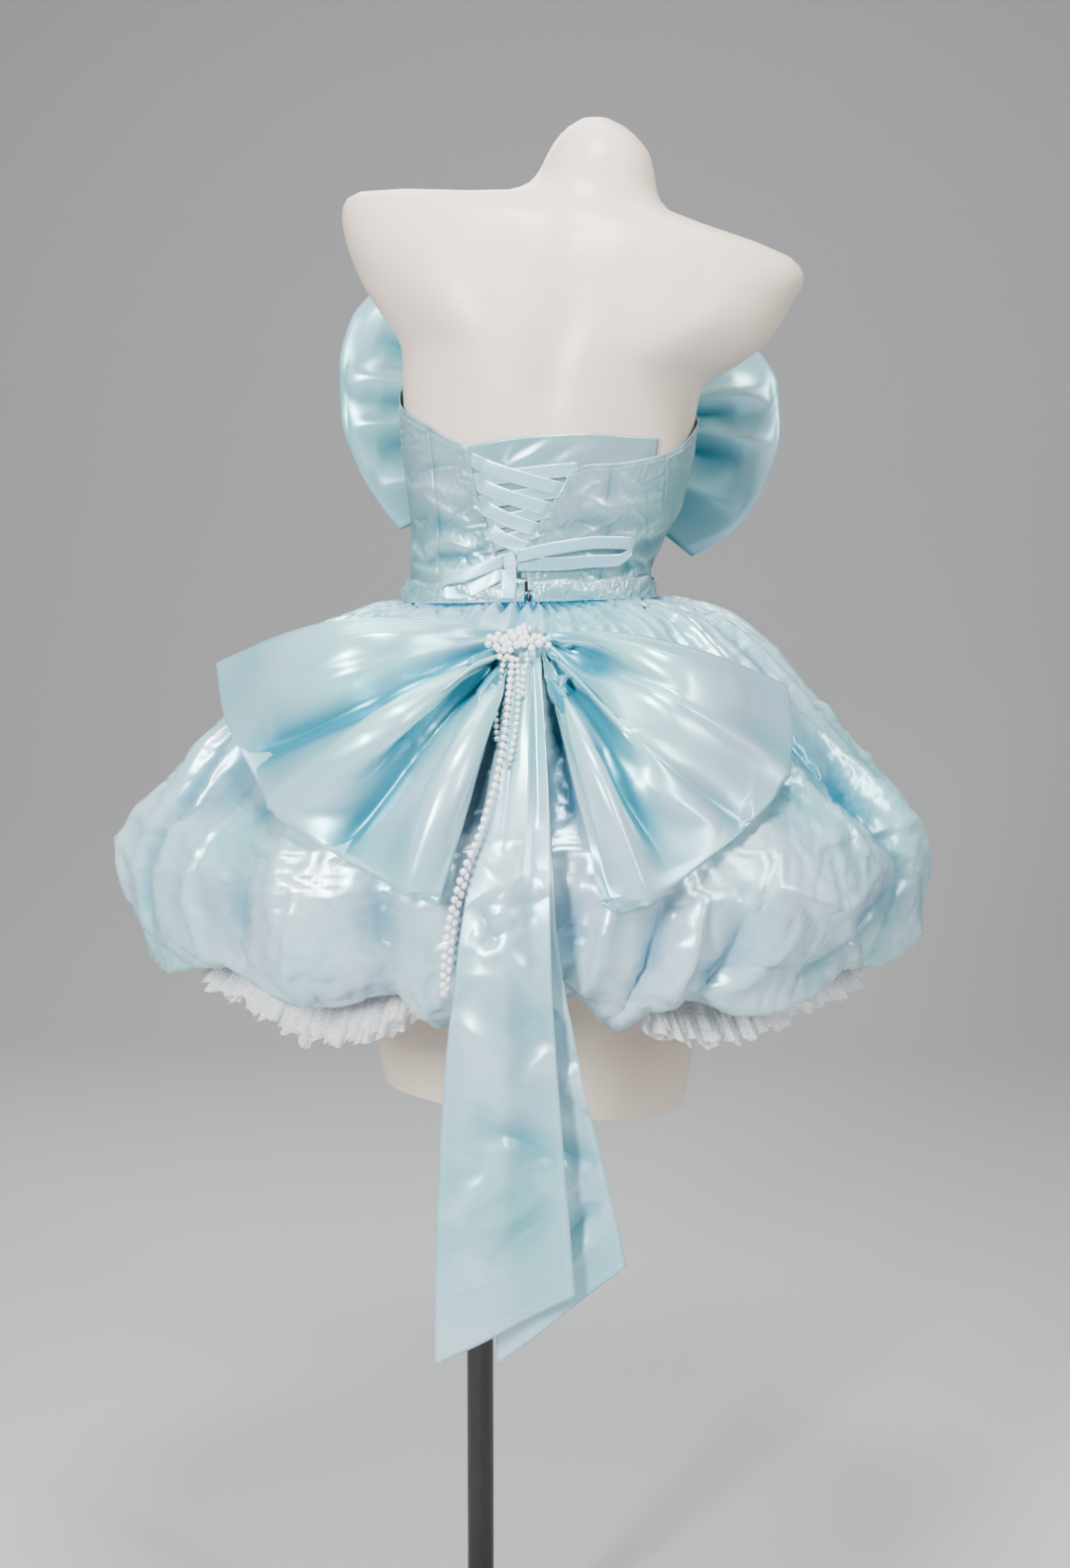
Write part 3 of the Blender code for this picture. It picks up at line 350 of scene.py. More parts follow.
# ---------------------------------------------------------------- stand
# A steel tube in a turned boss, welded to a round plate, all powder coated black. The solids
# have the right shape, so they only take the coat, with a little dust scattered over it.
powder_coat, shader, wire = new_finish("black_powder_coat", Metallic=0.0, Specular_IOR_Level=0.5)
spot = wire.node("TexCoord", output="Object")
grains = spot.noise(900.0, 2.0)
dusty = spot.noise(16.0, 6.0, 0.65)
dust = ((dusty - 0.5) * 4).clamped()
(dust * 0.5).blend((0.010, 0.010, 0.011), (0.030, 0.029, 0.028)).into(shader, "Base Color")
(dust * 0.22 + 0.36).into(shader, "Roughness")
grains.bump(0.00008).into(shader, "Normal")
for node in ("stand_base", "stand_pole"):
    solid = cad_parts[node]
    solid.data.materials.clear()
    solid.data.materials.append(powder_coat)

# ---------------------------------------------------------------- bodice
# Five panels of satin organza over a stiff lining, seamed at the sides and under the bust, with
# a turned and stitched top edge. The back panels stand apart and a lacing draws them together,
# so the cloth is smooth over the ribs and drags into short creases above the waist.
Edge = namedtuple("Edge", "angle height")
NECKLINE = [
    Edge(-180, 0.176), Edge(-150, 0.196), Edge(-128, 0.190), Edge(-100, 0.168),
    Edge(-82, 0.156), Edge(-70, 0.141), Edge(-55, 0.127), Edge(-31, 0.113),
    Edge(-18, 0.108), Edge(-11, 0.101), Edge(29, 0.115), Edge(38, 0.120),
    Edge(52, 0.131), Edge(78, 0.146), Edge(90, 0.158), Edge(104, 0.170),
    Edge(128, 0.190), Edge(150, 0.196),
]
Gap = namedtuple("Gap", "height left right")
LACING_GAP = [
    Gap(-0.015, 7.5, -1.6), Gap(0.000, 10.0, -1.3), Gap(0.015, 13.0, 0.0),
    Gap(0.032, 15.9, 1.6), Gap(0.052, 20.5, -1.8), Gap(0.076, 25.7, -7.0),
    Gap(0.092, 27.2, -10.2), Gap(0.115, 29.3, -13.0),
]
WAIST_SEAM, SEAM_RISE = -0.0130, 0.0055     # the waistband's lower edge, and its rise on the right
BODICE_LIFT, BODICE_LAYER = 0.0100, 0.0033
ZIP_SEAM = -1.875                           # angle of the centre back seam
SATIN_THICKNESS = 0.0007
# The satin's deep colour is painted shade: the cyan it is given down in its folds.
SATIN_PAINTED_SHADE = (0.012, 0.25, 0.41)
SATIN_MINT, SATIN_LAVENDER = (0.32, 0.69, 0.72), (0.52, 0.71, 0.83)
BROAD_FORM, SOFTENING = 60, 5               # rounds of smoothing that leave a sheet's broad form
THREAD = 0.00022
STITCH_SPACING, STITCH_LENGTH = 0.0034, 0.0025


def normals(grid, closed=False):
    """Unit normals of a grid of points, outwards where its columns turn to the left."""
    if closed:
        across = np.roll(grid, -1, axis=1) - np.roll(grid, 1, axis=1)
    else:
        across = np.gradient(grid, axis=1)
    upright = np.cross(across, np.gradient(grid, axis=0))
    return upright / np.maximum(np.linalg.norm(upright, axis=-1, keepdims=True), 1e-12)


def press(grid, line, width, depth, closed=False):
    """Presses a crease into a sheet along a line of points: a ridge, or a trough where depth is
    below 0, with a narrow crest and long slopes, which dies away towards the line's ends."""
    start, run = line[:-1], np.diff(line, axis=0)
    near = np.linalg.norm(grid - line.mean(axis=0), axis=-1) < (
        np.linalg.norm(line - line.mean(axis=0), axis=-1).max() + 3 * width)
    points = grid[near]
    if not len(points):
        return grid
    offset = points[:, None] - start
    t = np.clip((offset * run).sum(-1) / np.maximum((run**2).sum(-1), 1e-12), 0, 1)
    away = np.linalg.norm(offset - t[..., None] * run, axis=-1)
    nearest = away.argmin(axis=1)
    along = np.clip((nearest + t[np.arange(len(points)), nearest]) / len(run), 0, 1)
    crest = np.exp(-(np.hypot(away.min(axis=1), 0.2 * width) - 0.2 * width) / (0.75 * width))
    relief = depth * crest * np.abs(np.sin(math.pi * along))**0.7
    moved = grid.copy()
    moved[near] += relief[:, None] * normals(grid, closed)[near]
    return moved


def settle(grid, held, growth, bend, reach, inward=1.0, frames=12, closed=False):
    """Cloth cut a little too large for its place buckles into creases there. held is how firmly
    each point keeps its place, and reach is how far a point may move, less of it inwards."""
    cloth = bpy.data.objects.new("settling", sheet_mesh("settling", grid, closed))
    scene.collection.objects.link(cloth)
    grip = cloth.vertex_groups.new(name="held")
    for i, firmness in enumerate(np.broadcast_to(held, grid.shape[:2]).ravel().tolist()):
        grip.add([i], firmness, "REPLACE")
    cloth.modifiers.new("settling", "CLOTH")
    settings = cloth.modifiers["settling"].settings
    settings.quality = 4
    settings.mass = 0.15
    settings.tension_stiffness = settings.compression_stiffness = 25
    settings.shear_stiffness = 12
    settings.bending_stiffness = bend
    settings.shrink_min = -growth
    settings.vertex_group_mass = "held"
    settings.pin_stiffness = 1.0
    settings.effector_weights.gravity = 0.0
    cloth.modifiers["settling"].collision_settings.use_collision = False
    cloth.modifiers["settling"].point_cache.frame_end = frames
    for step in range(1, frames + 1):
        scene.frame_set(step)
    settled = cloth.evaluated_get(bpy.context.evaluated_depsgraph_get()).to_mesh()
    points = np.empty(len(settled.vertices) * 3)
    settled.vertices.foreach_get("co", points)
    bpy.data.objects.remove(cloth, do_unlink=True)
    scene.frame_set(1)
    moved = points.reshape(grid.shape) + (POLE_SHIFT, 0, 0) - grid
    outwards = normals(grid, closed)
    depth = (moved * outwards).sum(-1, keepdims=True)
    moved += outwards * (np.maximum(depth, -inward * reach) - depth)
    distance = np.linalg.norm(moved, axis=-1, keepdims=True)
    return grid + moved * np.minimum(1, reach / np.maximum(distance, 1e-9))


def waist_seam(angle):
    return WAIST_SEAM - SEAM_RISE * np.sin(np.radians(angle))


def satin(name, painted_shade=SATIN_PAINTED_SHADE, mint=SATIN_MINT, lavender=SATIN_LAVENDER, crumple=1.0):
    """Satin organza: painted shade of cyan down in the folds, mint to pale lavender on them, creased and
    woven.
    """
    material, shader, wire = new_finish(
        name, Metallic=0.35, Specular_IOR_Level=0.6, Coat_Weight=0.18, Coat_Roughness=0.16,
        Anisotropic=0.5, Sheen_Weight=0.10, Sheen_Roughness=0.35)
    spot = wire.node("TexCoord", output="Object")
    cloth = wire.node("TexCoord", output="UV")
    relief = wire.node("Attribute", {"attribute_name": "relief"}, output="Fac")
    drift = spot.noise(6.0, 2.0)
    ridges = spot.noise(9.0, 2.0, 0.4, kind="RIDGED_MULTIFRACTAL")
    bent = spot.noise(11.0, 2.0, output="Color")
    shifted = wire.node("Mix", {"data_type": "VECTOR"}, {0: 0.12, 4: spot, 5: bent}, output=1)
    facets = wire.node("TexVoronoi", {"feature": "F1"}, {"Vector": shifted, "Scale": 17.0})
    threads = wire.node("Mapping", inputs={"Vector": cloth, "Scale": (2600, 500, 1)})
    weave = threads.noise(1.0, 2.0)
    tint = ((drift - 0.5) * 4 + 0.5).clamped().blend(mint, lavender)
    # Painted shade: the relief attribute takes the colour down to the deep colour in folds; the drift
    # also darkens it a little at random.
    height = ((relief - 0.5) * 1.5 + (drift - 0.5) * 0.4 + 0.58).clamped()
    height.blend(painted_shade, tint).into(shader, "Base Color")
    (weave * 0.10 + drift * 0.10 + 0.20).into(shader, "Roughness")
    fine = weave.bump(0.00005)
    angular = facets.bump(0.0014 * crumple, fine)
    ridges.bump(0.0008 * crumple, angular).into(shader, "Normal")
    return material


def painted_fold_shade(grid, depth, closed=False):
    """How far each point of a sheet stands out of the sheet's broad form, which sets the painted shade
    in its folds: 0 down in a fold of this depth, 0.5 level and 1 on a ridge."""
    def spread(values, times):
        for _ in range(times):
            padded = np.pad(values, ((1, 1), (1, 1), (0, 0)), mode="edge")
            if closed:
                padded[:, 0], padded[:, -1] = padded[:, -2], padded[:, 1]
            values = (padded[:-2, 1:-1] + padded[2:, 1:-1] + padded[1:-1, :-2] + padded[1:-1, 2:]) / 4
        return values

    out = ((grid - spread(grid, BROAD_FORM)) * normals(grid, closed)).sum(-1)
    return np.clip(0.5 + 0.5 * spread(out[..., None], SOFTENING)[..., 0] / depth, 0, 1)


def keep_painted_shade(mesh, relief):
    """Keeps how far each point of a mesh stands out of its form, for the shade painted into its finish.
    """
    mesh.attributes.new("relief", "FLOAT", "POINT").data.foreach_set("value", relief)
    return mesh


def cloth_mesh(name, grid, relief):
    """A sheet's mesh with its relief for painted fold shade, which is a grid or one value for all of it.
    """
    return keep_painted_shade(sheet_mesh(name, grid), np.broadcast_to(relief, grid.shape[:2]).ravel())


def thin_shell(piece, thickness):
    """Gives a sheet its cloth's thickness."""
    wall = piece.modifiers.new("thickness", "SOLIDIFY")
    wall.thickness = thickness
    wall.offset = 0


def bead_tree(name):
    """Small beads laid end to end on a line: stitches of thread, or pearls."""
    tree = bpy.data.node_groups.new(name, "GeometryNodeTree")
    for label, kind in (("Lines", "Geometry"), ("Spacing", "Float"), ("Width", "Float"),
                        ("Length", "Float"), ("Unevenness", "Float"), ("Sides", "Int"),
                        ("Material", "Material")):
        tree.interface.new_socket(label, in_out="INPUT", socket_type="NodeSocket" + kind)
    tree.interface.new_socket("Beads", in_out="OUTPUT", socket_type="NodeSocketGeometry")
    kinds = {"given": "NodeGroupInput", "result": "NodeGroupOutput",
             "curve": "GeometryNodeMeshToCurve", "spaced": "GeometryNodeResampleCurve",
             "bead": "GeometryNodeMeshUVSphere", "tangent": "GeometryNodeInputTangent",
             "turned": "FunctionNodeAlignRotationToVector", "size": "ShaderNodeCombineXYZ",
             "varied": "FunctionNodeRandomValue", "smallest": "ShaderNodeMath",
             "scaled": "ShaderNodeVectorMath", "laid": "GeometryNodeInstanceOnPoints",
             "joined": "GeometryNodeRealizeInstances", "smooth": "GeometryNodeSetShadeSmooth",
             "finished": "GeometryNodeSetMaterial"}
    node = {label: tree.nodes.new(kind) for label, kind in kinds.items()}
    node["spaced"].mode = "LENGTH"
    node["bead"].inputs["Radius"].default_value = 0.5
    node["turned"].axis = "Z"
    node["varied"].inputs["Seed"].default_value = 11
    node["smallest"].operation = "SUBTRACT"
    node["smallest"].inputs[0].default_value = 1
    node["scaled"].operation = "SCALE"
    for source, output, target, socket in (
            ("given", "Lines", "curve", "Mesh"), ("curve", "Curve", "spaced", "Curve"),
            ("given", "Spacing", "spaced", "Length"), ("given", "Sides", "bead", "Segments"),
            ("given", "Sides", "bead", "Rings"), ("given", "Width", "size", "X"),
            ("given", "Width", "size", "Y"), ("given", "Length", "size", "Z"),
            ("given", "Unevenness", "smallest", 1), ("smallest", 0, "varied", 2),
            ("size", 0, "scaled", 0), ("varied", 1, "scaled", "Scale"),
            ("tangent", 0, "turned", "Vector"), ("spaced", 0, "laid", "Points"),
            ("bead", "Mesh", "laid", "Instance"), ("turned", 0, "laid", "Rotation"),
            ("scaled", 0, "laid", "Scale"), ("laid", 0, "joined", 0), ("joined", 0, "smooth", 0),
            ("smooth", 0, "finished", "Geometry"), ("given", "Material", "finished", "Material"),
            ("finished", 0, "result", 0)):
        tree.links.new(node[source].outputs[output], node[target].inputs[socket])
    return tree


def beads_on(name, lines, material, **sizes):
    """The beads of the tree on these lines of the figure's points, as a plain mesh."""
    points, edges = [], []
    for line in lines:
        edges += [(len(points) + i, len(points) + i + 1) for i in range(len(line) - 1)]
        points += (np.asarray(line) - (POLE_SHIFT, 0, 0)).tolist()
    mesh = bpy.data.meshes.new(name + "_lines")
    mesh.from_pydata(points, edges, [])
    holder = bpy.data.objects.new(name + "_lines", mesh)
    scene.collection.objects.link(holder)
    modifier = holder.modifiers.new("beads", "NODES")
    modifier.node_group = BEADS
    for socket in BEADS.interface.items_tree:
        if socket.in_out == "INPUT" and socket.name != "Lines":
            modifier[socket.identifier] = material if socket.name == "Material" else sizes[socket.name]
    made = bpy.data.meshes.new_from_object(
        holder.evaluated_get(bpy.context.evaluated_depsgraph_get()))
    bpy.data.objects.remove(holder, do_unlink=True)
    made.name = name
    return made


def stitches(name, lines):
    """Lockstitch along lines of the figure's points, in thread of the cloth's colour."""
    mesh = beads_on(name, lines, thread, Spacing=STITCH_SPACING, Width=2 * THREAD,
                    Length=STITCH_LENGTH, Unevenness=0.12, Sides=4)
    return place(name, mesh, thread, "satin")


BEADS = bead_tree("beads_on_lines")
thread, shader, wire = new_finish("polyester_thread", Roughness=0.45, Sheen_Weight=0.3)
spot = wire.node("TexCoord", output="Object")
twist = spot.noise(1800.0, 1.0)
twist.blend((0.50, 0.74, 0.80), (0.68, 0.86, 0.90)).into(shader, "Base Color")
twist.bump(0.00008).into(shader, "Normal")
# Painted shade: the bodice, waistband and modesty panel wear the skirt's satin in darker colours, for the
# shade that lies over the bodice.
shaded_bodice_satin = satin("shaded_bodice_satin", (0.02, 0.20, 0.27), (0.25, 0.53, 0.56), (0.40, 0.54, 0.60),
                     crumple=0.55)


def bodice_grid(start, end, columns, rows):
    """A panel between two edges, each an angle or a function of the height."""
    u, v = np.meshgrid(np.linspace(0, 1, columns), np.linspace(1, 0, rows))
    height = v * 0.12
    for _ in range(4):                      # the edges' angles and the top's height meet
        low_edge = start(height) if callable(start) else start
        high_edge = end(height) if callable(end) else end
        angle = low_edge * (1 - u) + high_edge * u
        low = waist_seam(angle) + BODICE_LIFT
        height = low + (around(NECKLINE, angle).height - low) * v
    return figure(height, angle, BODICE_LAYER)


def between(stops, count):
    """Each column of a line of stops, at evenly spaced places along it."""
    t, at = np.linspace(0, 1, count), np.linspace(0, 1, len(stops))
    return [np.interp(t, at, column) for column in np.array(stops, float).T]


def on_bodice(stops):
    """A line over the bodice through stops of angle and height."""
    angle, height = between(stops, 12)
    return figure(height, angle, BODICE_LAYER)


# Drag lines of the laced cloth: a line of stops of angle and height, its width and its depth.
Drag = namedtuple("Drag", "stops width depth")
BODICE_DRAGS = [
    Drag([(24, 0.030), (40, 0.036), (60, 0.028)], 0.0045, 0.0022),
    Drag([(22, 0.022), (42, 0.024), (66, 0.014)], 0.0035, -0.0012),
    Drag([(26, 0.050), (44, 0.062), (58, 0.074)], 0.0060, 0.0016),
    Drag([(30, 0.072), (50, 0.080), (74, 0.076)], 0.0070, 0.0012),
    Drag([(56, 0.018), (72, 0.030), (84, 0.020)], 0.0040, 0.0022),
    Drag([(34, 0.008), (52, 0.010), (80, 0.016)], 0.0030, 0.0018),
    Drag([(-8, 0.018), (-30, 0.026), (-52, 0.020)], 0.0040, 0.0016),
    Drag([(-36, 0.050), (-56, 0.052), (-78, 0.064)], 0.0050, 0.0024),
    Drag([(-50, 0.034), (-66, 0.030), (-84, 0.040)], 0.0035, 0.0022),
    Drag([(-60, 0.014), (-74, 0.020), (-86, 0.012)], 0.0032, 0.0022),
    Drag([(-20, 0.070), (-40, 0.078), (-60, 0.088)], 0.0070, 0.0012),
    Drag([(96, 0.020), (112, 0.030), (132, 0.022)], 0.0040, 0.0020),
    Drag([(94, 0.052), (114, 0.060), (134, 0.070)], 0.0050, 0.0016),
    Drag([(-94, 0.026), (-112, 0.020), (-132, 0.030)], 0.0040, 0.0020),
    Drag([(-96, 0.060), (-114, 0.050), (-134, 0.062)], 0.0050, 0.0016),
    Drag([(144, 0.024), (168, 0.032), (192, 0.026), (214, 0.034)], 0.0050, 0.0020),
    Drag([(150, 0.060), (172, 0.052), (200, 0.062)], 0.0060, 0.0014),
]
Panel = namedtuple("Panel", "node start end columns")
BODICE_PANELS = [
    Panel("bodice_back_left", lambda height: read(LACING_GAP, height).left, 89.9, 78),
    Panel("bodice_side_left", 90.1, 137.9, 52),
    Panel("bodice_front_centre", 138.1, 221.9, 104),
    Panel("bodice_side_right", -137.9, -90.1, 52),
    Panel("bodice_back_right", -89.9, lambda height: read(LACING_GAP, height).right, 92),
]
SEAM_GROOVES = [                            # shaping seams and darts, pulled in by their thread
    Drag([(50, 0.132), (48, 0.060), (46, 0.000)], 0.0018, -0.0011),
    Drag([(-29, 0.118), (-30, 0.064)], 0.0016, -0.0012),
    Drag([(-38, 0.020), (-37, -0.004)], 0.0016, -0.0010),
]
SMALL_DRAGS, DRAG_WIDTH, DRAG_DEPTH = 110, 1.3, 1.2
chance = np.random.default_rng(5)
for _ in range(SMALL_DRAGS):
    at, up = chance.uniform(-180, 180), chance.uniform(0.006, 0.100)
    swing, rise = chance.uniform(4, 13), chance.uniform(-0.012, 0.012)
    bend = chance.uniform(-0.003, 0.003)
    BODICE_DRAGS.append(Drag([(at - swing, up - rise), (at, up + bend), (at + swing, up + rise)],
                             chance.uniform(0.0014, 0.0030),
                             chance.uniform(0.0005, 0.0012) * chance.choice([-0.7, 1, 1])))
edge_lines = []
for panel in BODICE_PANELS:
    grid = bodice_grid(panel.start, panel.end, panel.columns, 74)
    for drag in BODICE_DRAGS + SEAM_GROOVES:
        grid = press(grid, on_bodice(drag.stops), DRAG_WIDTH * drag.width, DRAG_DEPTH * drag.depth)
    held = np.full(grid.shape[:2], 0.30)
    held[:2] = held[-2:] = 1
    held[:, :2] = held[:, -2:] = 1
    grid = settle(grid, held, growth=0.022, bend=5.0, reach=0.0030, inward=0.3, frames=8)
    piece = place(panel.node.replace("bodice", "shaded_bodice_satin"),
                  cloth_mesh(panel.node, grid, painted_fold_shade(grid, 0.0014)), shaded_bodice_satin, "satin", panel.node)
    thin_shell(piece, SATIN_THICKNESS)
    lifted = grid + normals(grid) * (SATIN_THICKNESS / 2 + THREAD / 2)
    edge_lines.append(lifted[3])
    if panel.node == "bodice_back_left":
        edge_lines.append(lifted[3:, 2])
    if panel.node == "bodice_back_right":
        edge_lines.append(lifted[3:, -3])
stitches("bodice_edge_stitches", edge_lines)

# ---------------------------------------------------------------- skirt
# A bubble skirt: three panels gathered hard into the waistband, blown out over the petticoat,
# caught up at uneven tacks along the hem and turned under to a short lining. The crisp organza
# keeps every crease it was crushed into.
Ring = namedtuple("Ring", "place spread drop follow gather fold")
SKIRT = [
    Ring(0, -0.0014, -0.0040, 1.0, 0.0002, 0.0),
    Ring(1, 0.0000, -0.0152, 1.0, 0.0003, 0.0),
    Ring(2, 0.0100, -0.0187, 1.0, 0.0010, 0.0),
    Ring(3, 0.0330, -0.0205, 0.9, 0.0036, 0.1),
    Ring(4, 0.0650, -0.0300, 0.7, 0.0060, 0.2),
    Ring(5, 0.0980, -0.0520, 0.5, 0.0065, 0.3),
    Ring(6, 0.1330, -0.0860, 0.3, 0.0055, 0.5),
    Ring(7, 0.1690, -0.1290, 0.1, 0.0040, 0.7),
    Ring(8, 0.2060, -0.1750, 0.0, 0.0026, 1.0),
    Ring(9, 0.2350, -0.2070, 0.0, 0.0018, 1.0),
    Ring(10, 0.2465, -0.2420, 0.0, 0.0014, 1.0),
    Ring(11, 0.2440, -0.2780, 0.0, 0.0010, 0.9),
    Ring(12, 0.2320, -0.3090, 0.0, 0.0006, 0.7),
    Ring(13, 0.2160, -0.3250, 0.0, 0.0, 0.5),
    Ring(14, 0.2010, -0.3300, 0.0, 0.0, 0.3),
    Ring(15, 0.1900, -0.3230, 0.0, 0.0, 0.1),
]
Catch = namedtuple("Catch", "angle fall swell")
HEM = [
    Catch(-165, -0.006, 0.002), Catch(-148, 0.004, 0.007), Catch(-130, -0.010, -0.006),
    Catch(-112, 0.004, 0.006), Catch(-92, 0.004, -0.006), Catch(-74, 0.000, 0.002),
    Catch(-60, -0.012, -0.004), Catch(-37, 0.012, 0.008), Catch(-24, -0.006, 0.002),
    Catch(-16, 0.024, -0.004), Catch(-8, -0.014, -0.012), Catch(3, -0.006, -0.006),
    Catch(11, 0.022, 0.000), Catch(17, -0.010, -0.006), Catch(29, 0.008, 0.008),
    Catch(45, -0.020, -0.004), Catch(58, -0.008, 0.006), Catch(74, 0.006, 0.004),
    Catch(92, 0.002, -0.004), Catch(110, 0.006, 0.008), Catch(130, -0.008, -0.006),
    Catch(150, 0.004, 0.006), Catch(178, -0.006, -0.004),
]
SKIRT_DEPTH, GATHERS = 0.92, 32
SKIRT_COLUMNS, SKIRT_LINES = 440, 108
CREASE_SCALE, CRUSHED_CREASES = 1.2, 300


def skirt(angle, place_down):
    """Points of the skirt at angles, from the waist (0) to the turned-under hem (15)."""
    ring, catch = read(SKIRT, place_down), around(HEM, angle)
    low = np.maximum(0, (place_down - 6) / 9)
    turn = np.radians(angle)
    wander = 1.1 * np.sin(5 * turn + 0.7) + 0.8 * np.sin(9 * turn + 2.0)
    phase = np.radians(GATHERS * (angle - ZIP_SEAM)) + wander
    ripple = np.cos(phase) + 0.30 * np.cos(2 * phase + 0.5)
    ripple = ripple * (1 + 0.45 * np.sin(3 * turn + 1) * np.sin(5 * turn))
    spread = ring.spread + ring.gather * ripple + catch.swell * ring.fold * 1.5
    middle = figure(waist_seam(angle), angle, BODICE_LAYER)
    rise = ring.follow * (middle[..., 2] - WAIST - WAIST_SEAM)
    return np.stack([middle[..., 0] + spread * np.sin(turn),
                     middle[..., 1] + spread * SKIRT_DEPTH * np.cos(turn),
                     WAIST + ring.drop + rise - catch.fall * low**2], axis=-1)


def over_skirt(stops):
    """A line over the skirt through stops of angle and place."""
    return skirt(*between(stops, 14))


# Main creases: a line of stops of angle and place, its width and its depth, + outwards.
SKIRT_CREASES = [
    Drag([(62, 6.0), (70, 8.6), (74, 11.0)], 0.016, 0.012),     # left: long ridge to the hem
    Drag([(54, 7.0), (60, 9.4), (64, 11.6)], 0.015, -0.009),
    Drag([(46, 8.2), (50, 10.2), (49, 12.4)], 0.016, 0.006),
    Drag([(36, 9.0), (40, 11.0), (42, 12.8)], 0.014, -0.006),
    Drag([(27, 9.6), (30, 11.6), (30, 13.2)], 0.014, 0.005),
    Drag([(82, 7.4), (84, 9.6), (80, 12.2)], 0.014, -0.009),
    Drag([(74, 11.0), (66, 12.3), (60, 12.8)], 0.008, -0.012),    # rolled pocket
    Drag([(80, 11.9), (72, 13.0), (62, 13.4)], 0.008, 0.010),
    Drag([(56, 11.4), (42, 12.6), (28, 13.0)], 0.009, 0.008),     # swag along the hem
    Drag([(-14, 9.4), (-12, 11.2), (-10, 12.6)], 0.010, 0.014),  # cluster by the tails
    Drag([(-20, 9.6), (-18, 11.4), (-15, 13.0)], 0.007, -0.013),
    Drag([(-25, 9.8), (-23, 11.4), (-20, 13.0)], 0.008, 0.012),
    Drag([(-31, 10.2), (-28, 11.8), (-26, 13.0)], 0.008, -0.010),
    Drag([(-22, 12.2), (-34, 13.0), (-46, 12.6), (-56, 11.6)], 0.010, 0.009),
    Drag([(-30, 11.2), (-42, 11.9), (-54, 11.3), (-64, 10.2)], 0.010, -0.008),
    Drag([(-34, 9.6), (-46, 10.4), (-60, 9.9)], 0.011, 0.008),
    Drag([(-44, 6.6), (-52, 8.4), (-58, 10.0)], 0.012, 0.008),
    Drag([(-54, 6.4), (-62, 8.4), (-68, 10.4)], 0.011, -0.008),
    Drag([(-64, 6.2), (-72, 8.4), (-78, 10.6)], 0.013, 0.010),
    Drag([(-74, 6.6), (-82, 8.8), (-86, 11.0)], 0.012, -0.009),
    Drag([(-88, 6.4), (-92, 8.8), (-94, 11.4)], 0.014, 0.010),
    Drag([(-70, 11.0), (-80, 12.0), (-90, 12.4)], 0.009, 0.008),
]
Tack = namedtuple("Tack", "angle place reach folds")
TACKS = [                                   # where the hem is caught up, and what radiates there
    Tack(92, 12.6, 4.4, 5), Tack(124, 12.8, 5.0, 6), Tack(160, 12.6, 4.6, 5),
    Tack(192, 12.8, 5.2, 6), Tack(226, 12.6, 4.6, 5), Tack(254, 12.8, 4.8, 6),
    Tack(-24, 12.6, 2.2, 4), Tack(-60, 12.8, 3.2, 5),
]
for index, tack in enumerate(TACKS):
    for fold in range(tack.folds):
        swing = (fold - (tack.folds - 1) / 2) * 9 + 2.5 * math.sin(5 * index + 3 * fold)
        top = tack.place - tack.reach * (0.7 + 0.3 * math.cos(2.1 * index + 4.3 * fold))
        side = 1 if fold % 2 == 0 else -1
        SKIRT_CREASES.append(Drag([(tack.angle, tack.place), (tack.angle + 0.45 * swing, top + 1.6),
                                   (tack.angle + swing, top)], 0.009 + 0.002 * (fold % 3),
                                  side * (0.0058 - 0.001 * (fold % 4))))

fine_places = np.linspace(0, 15, 400)
ring_line = read(SKIRT, fine_places)
run = np.concatenate([[0], np.hypot(np.diff(ring_line.spread), np.diff(ring_line.drop)).cumsum()])
places = np.interp(np.linspace(0, run[-1], SKIRT_LINES), run, fine_places)
angles = ZIP_SEAM + 360 * np.arange(SKIRT_COLUMNS) / SKIRT_COLUMNS
whole = skirt(angles[None, :], places[:, None])
turn = np.radians(angles)[None, :]
phase = 66 * turn + 1.7 * np.sin(5 * turn + 0.4) + 1.3 * np.sin(11 * turn + 2)
puckered = np.clip((places - 0.5) / 1.3, 0, 1) * np.clip((7.0 - places) / 4.5, 0, 1)
fine_gathers = (1 - 1.6 * np.abs(np.sin(phase / 2))) * (1 + 0.5 * np.sin(7 * turn + 1))
whole += normals(whole, True) * (0.0052 * puckered[:, None] * fine_gathers)[..., None]
for crease in SKIRT_CREASES:
    whole = press(whole, over_skirt(crease.stops), CREASE_SCALE * crease.width,
                  CREASE_SCALE * crease.depth, closed=True)
held = np.full(whole.shape[:2], 0.34)
held[:6] = held[-3:] = 1
for growth, bend, reach in ((0.030, 3.0, 0.007), (0.020, 0.4, 0.002)):
    whole = settle(whole, held, growth, bend, reach, inward=0.8, frames=10, closed=True)
chance = np.random.default_rng(7)
for _ in range(CRUSHED_CREASES):            # small creases where the cloth was crushed
    at, down = chance.uniform(0, 360), chance.uniform(4.5, 13.2)
    swing, fall = chance.uniform(-9, 9), chance.uniform(-1.3, 1.3)
    along = np.linspace(-1, 1, 14)
    turned = at + swing * along + chance.uniform(-2.5, 2.5) * (1 - along**2)
    column = (turned - ZIP_SEAM) * SKIRT_COLUMNS / 360
    row = np.interp(down + fall * along, places, np.arange(SKIRT_LINES))
    line = whole[row.round().astype(int), column.round().astype(int) % SKIRT_COLUMNS]
    depth = chance.uniform(0.0012, 0.0034) * chance.choice([-0.7, 1, 1])
    whole = press(whole, line, chance.uniform(0.0045, 0.0080), depth, closed=True)
skirt_satin = satin("skirt_satin")
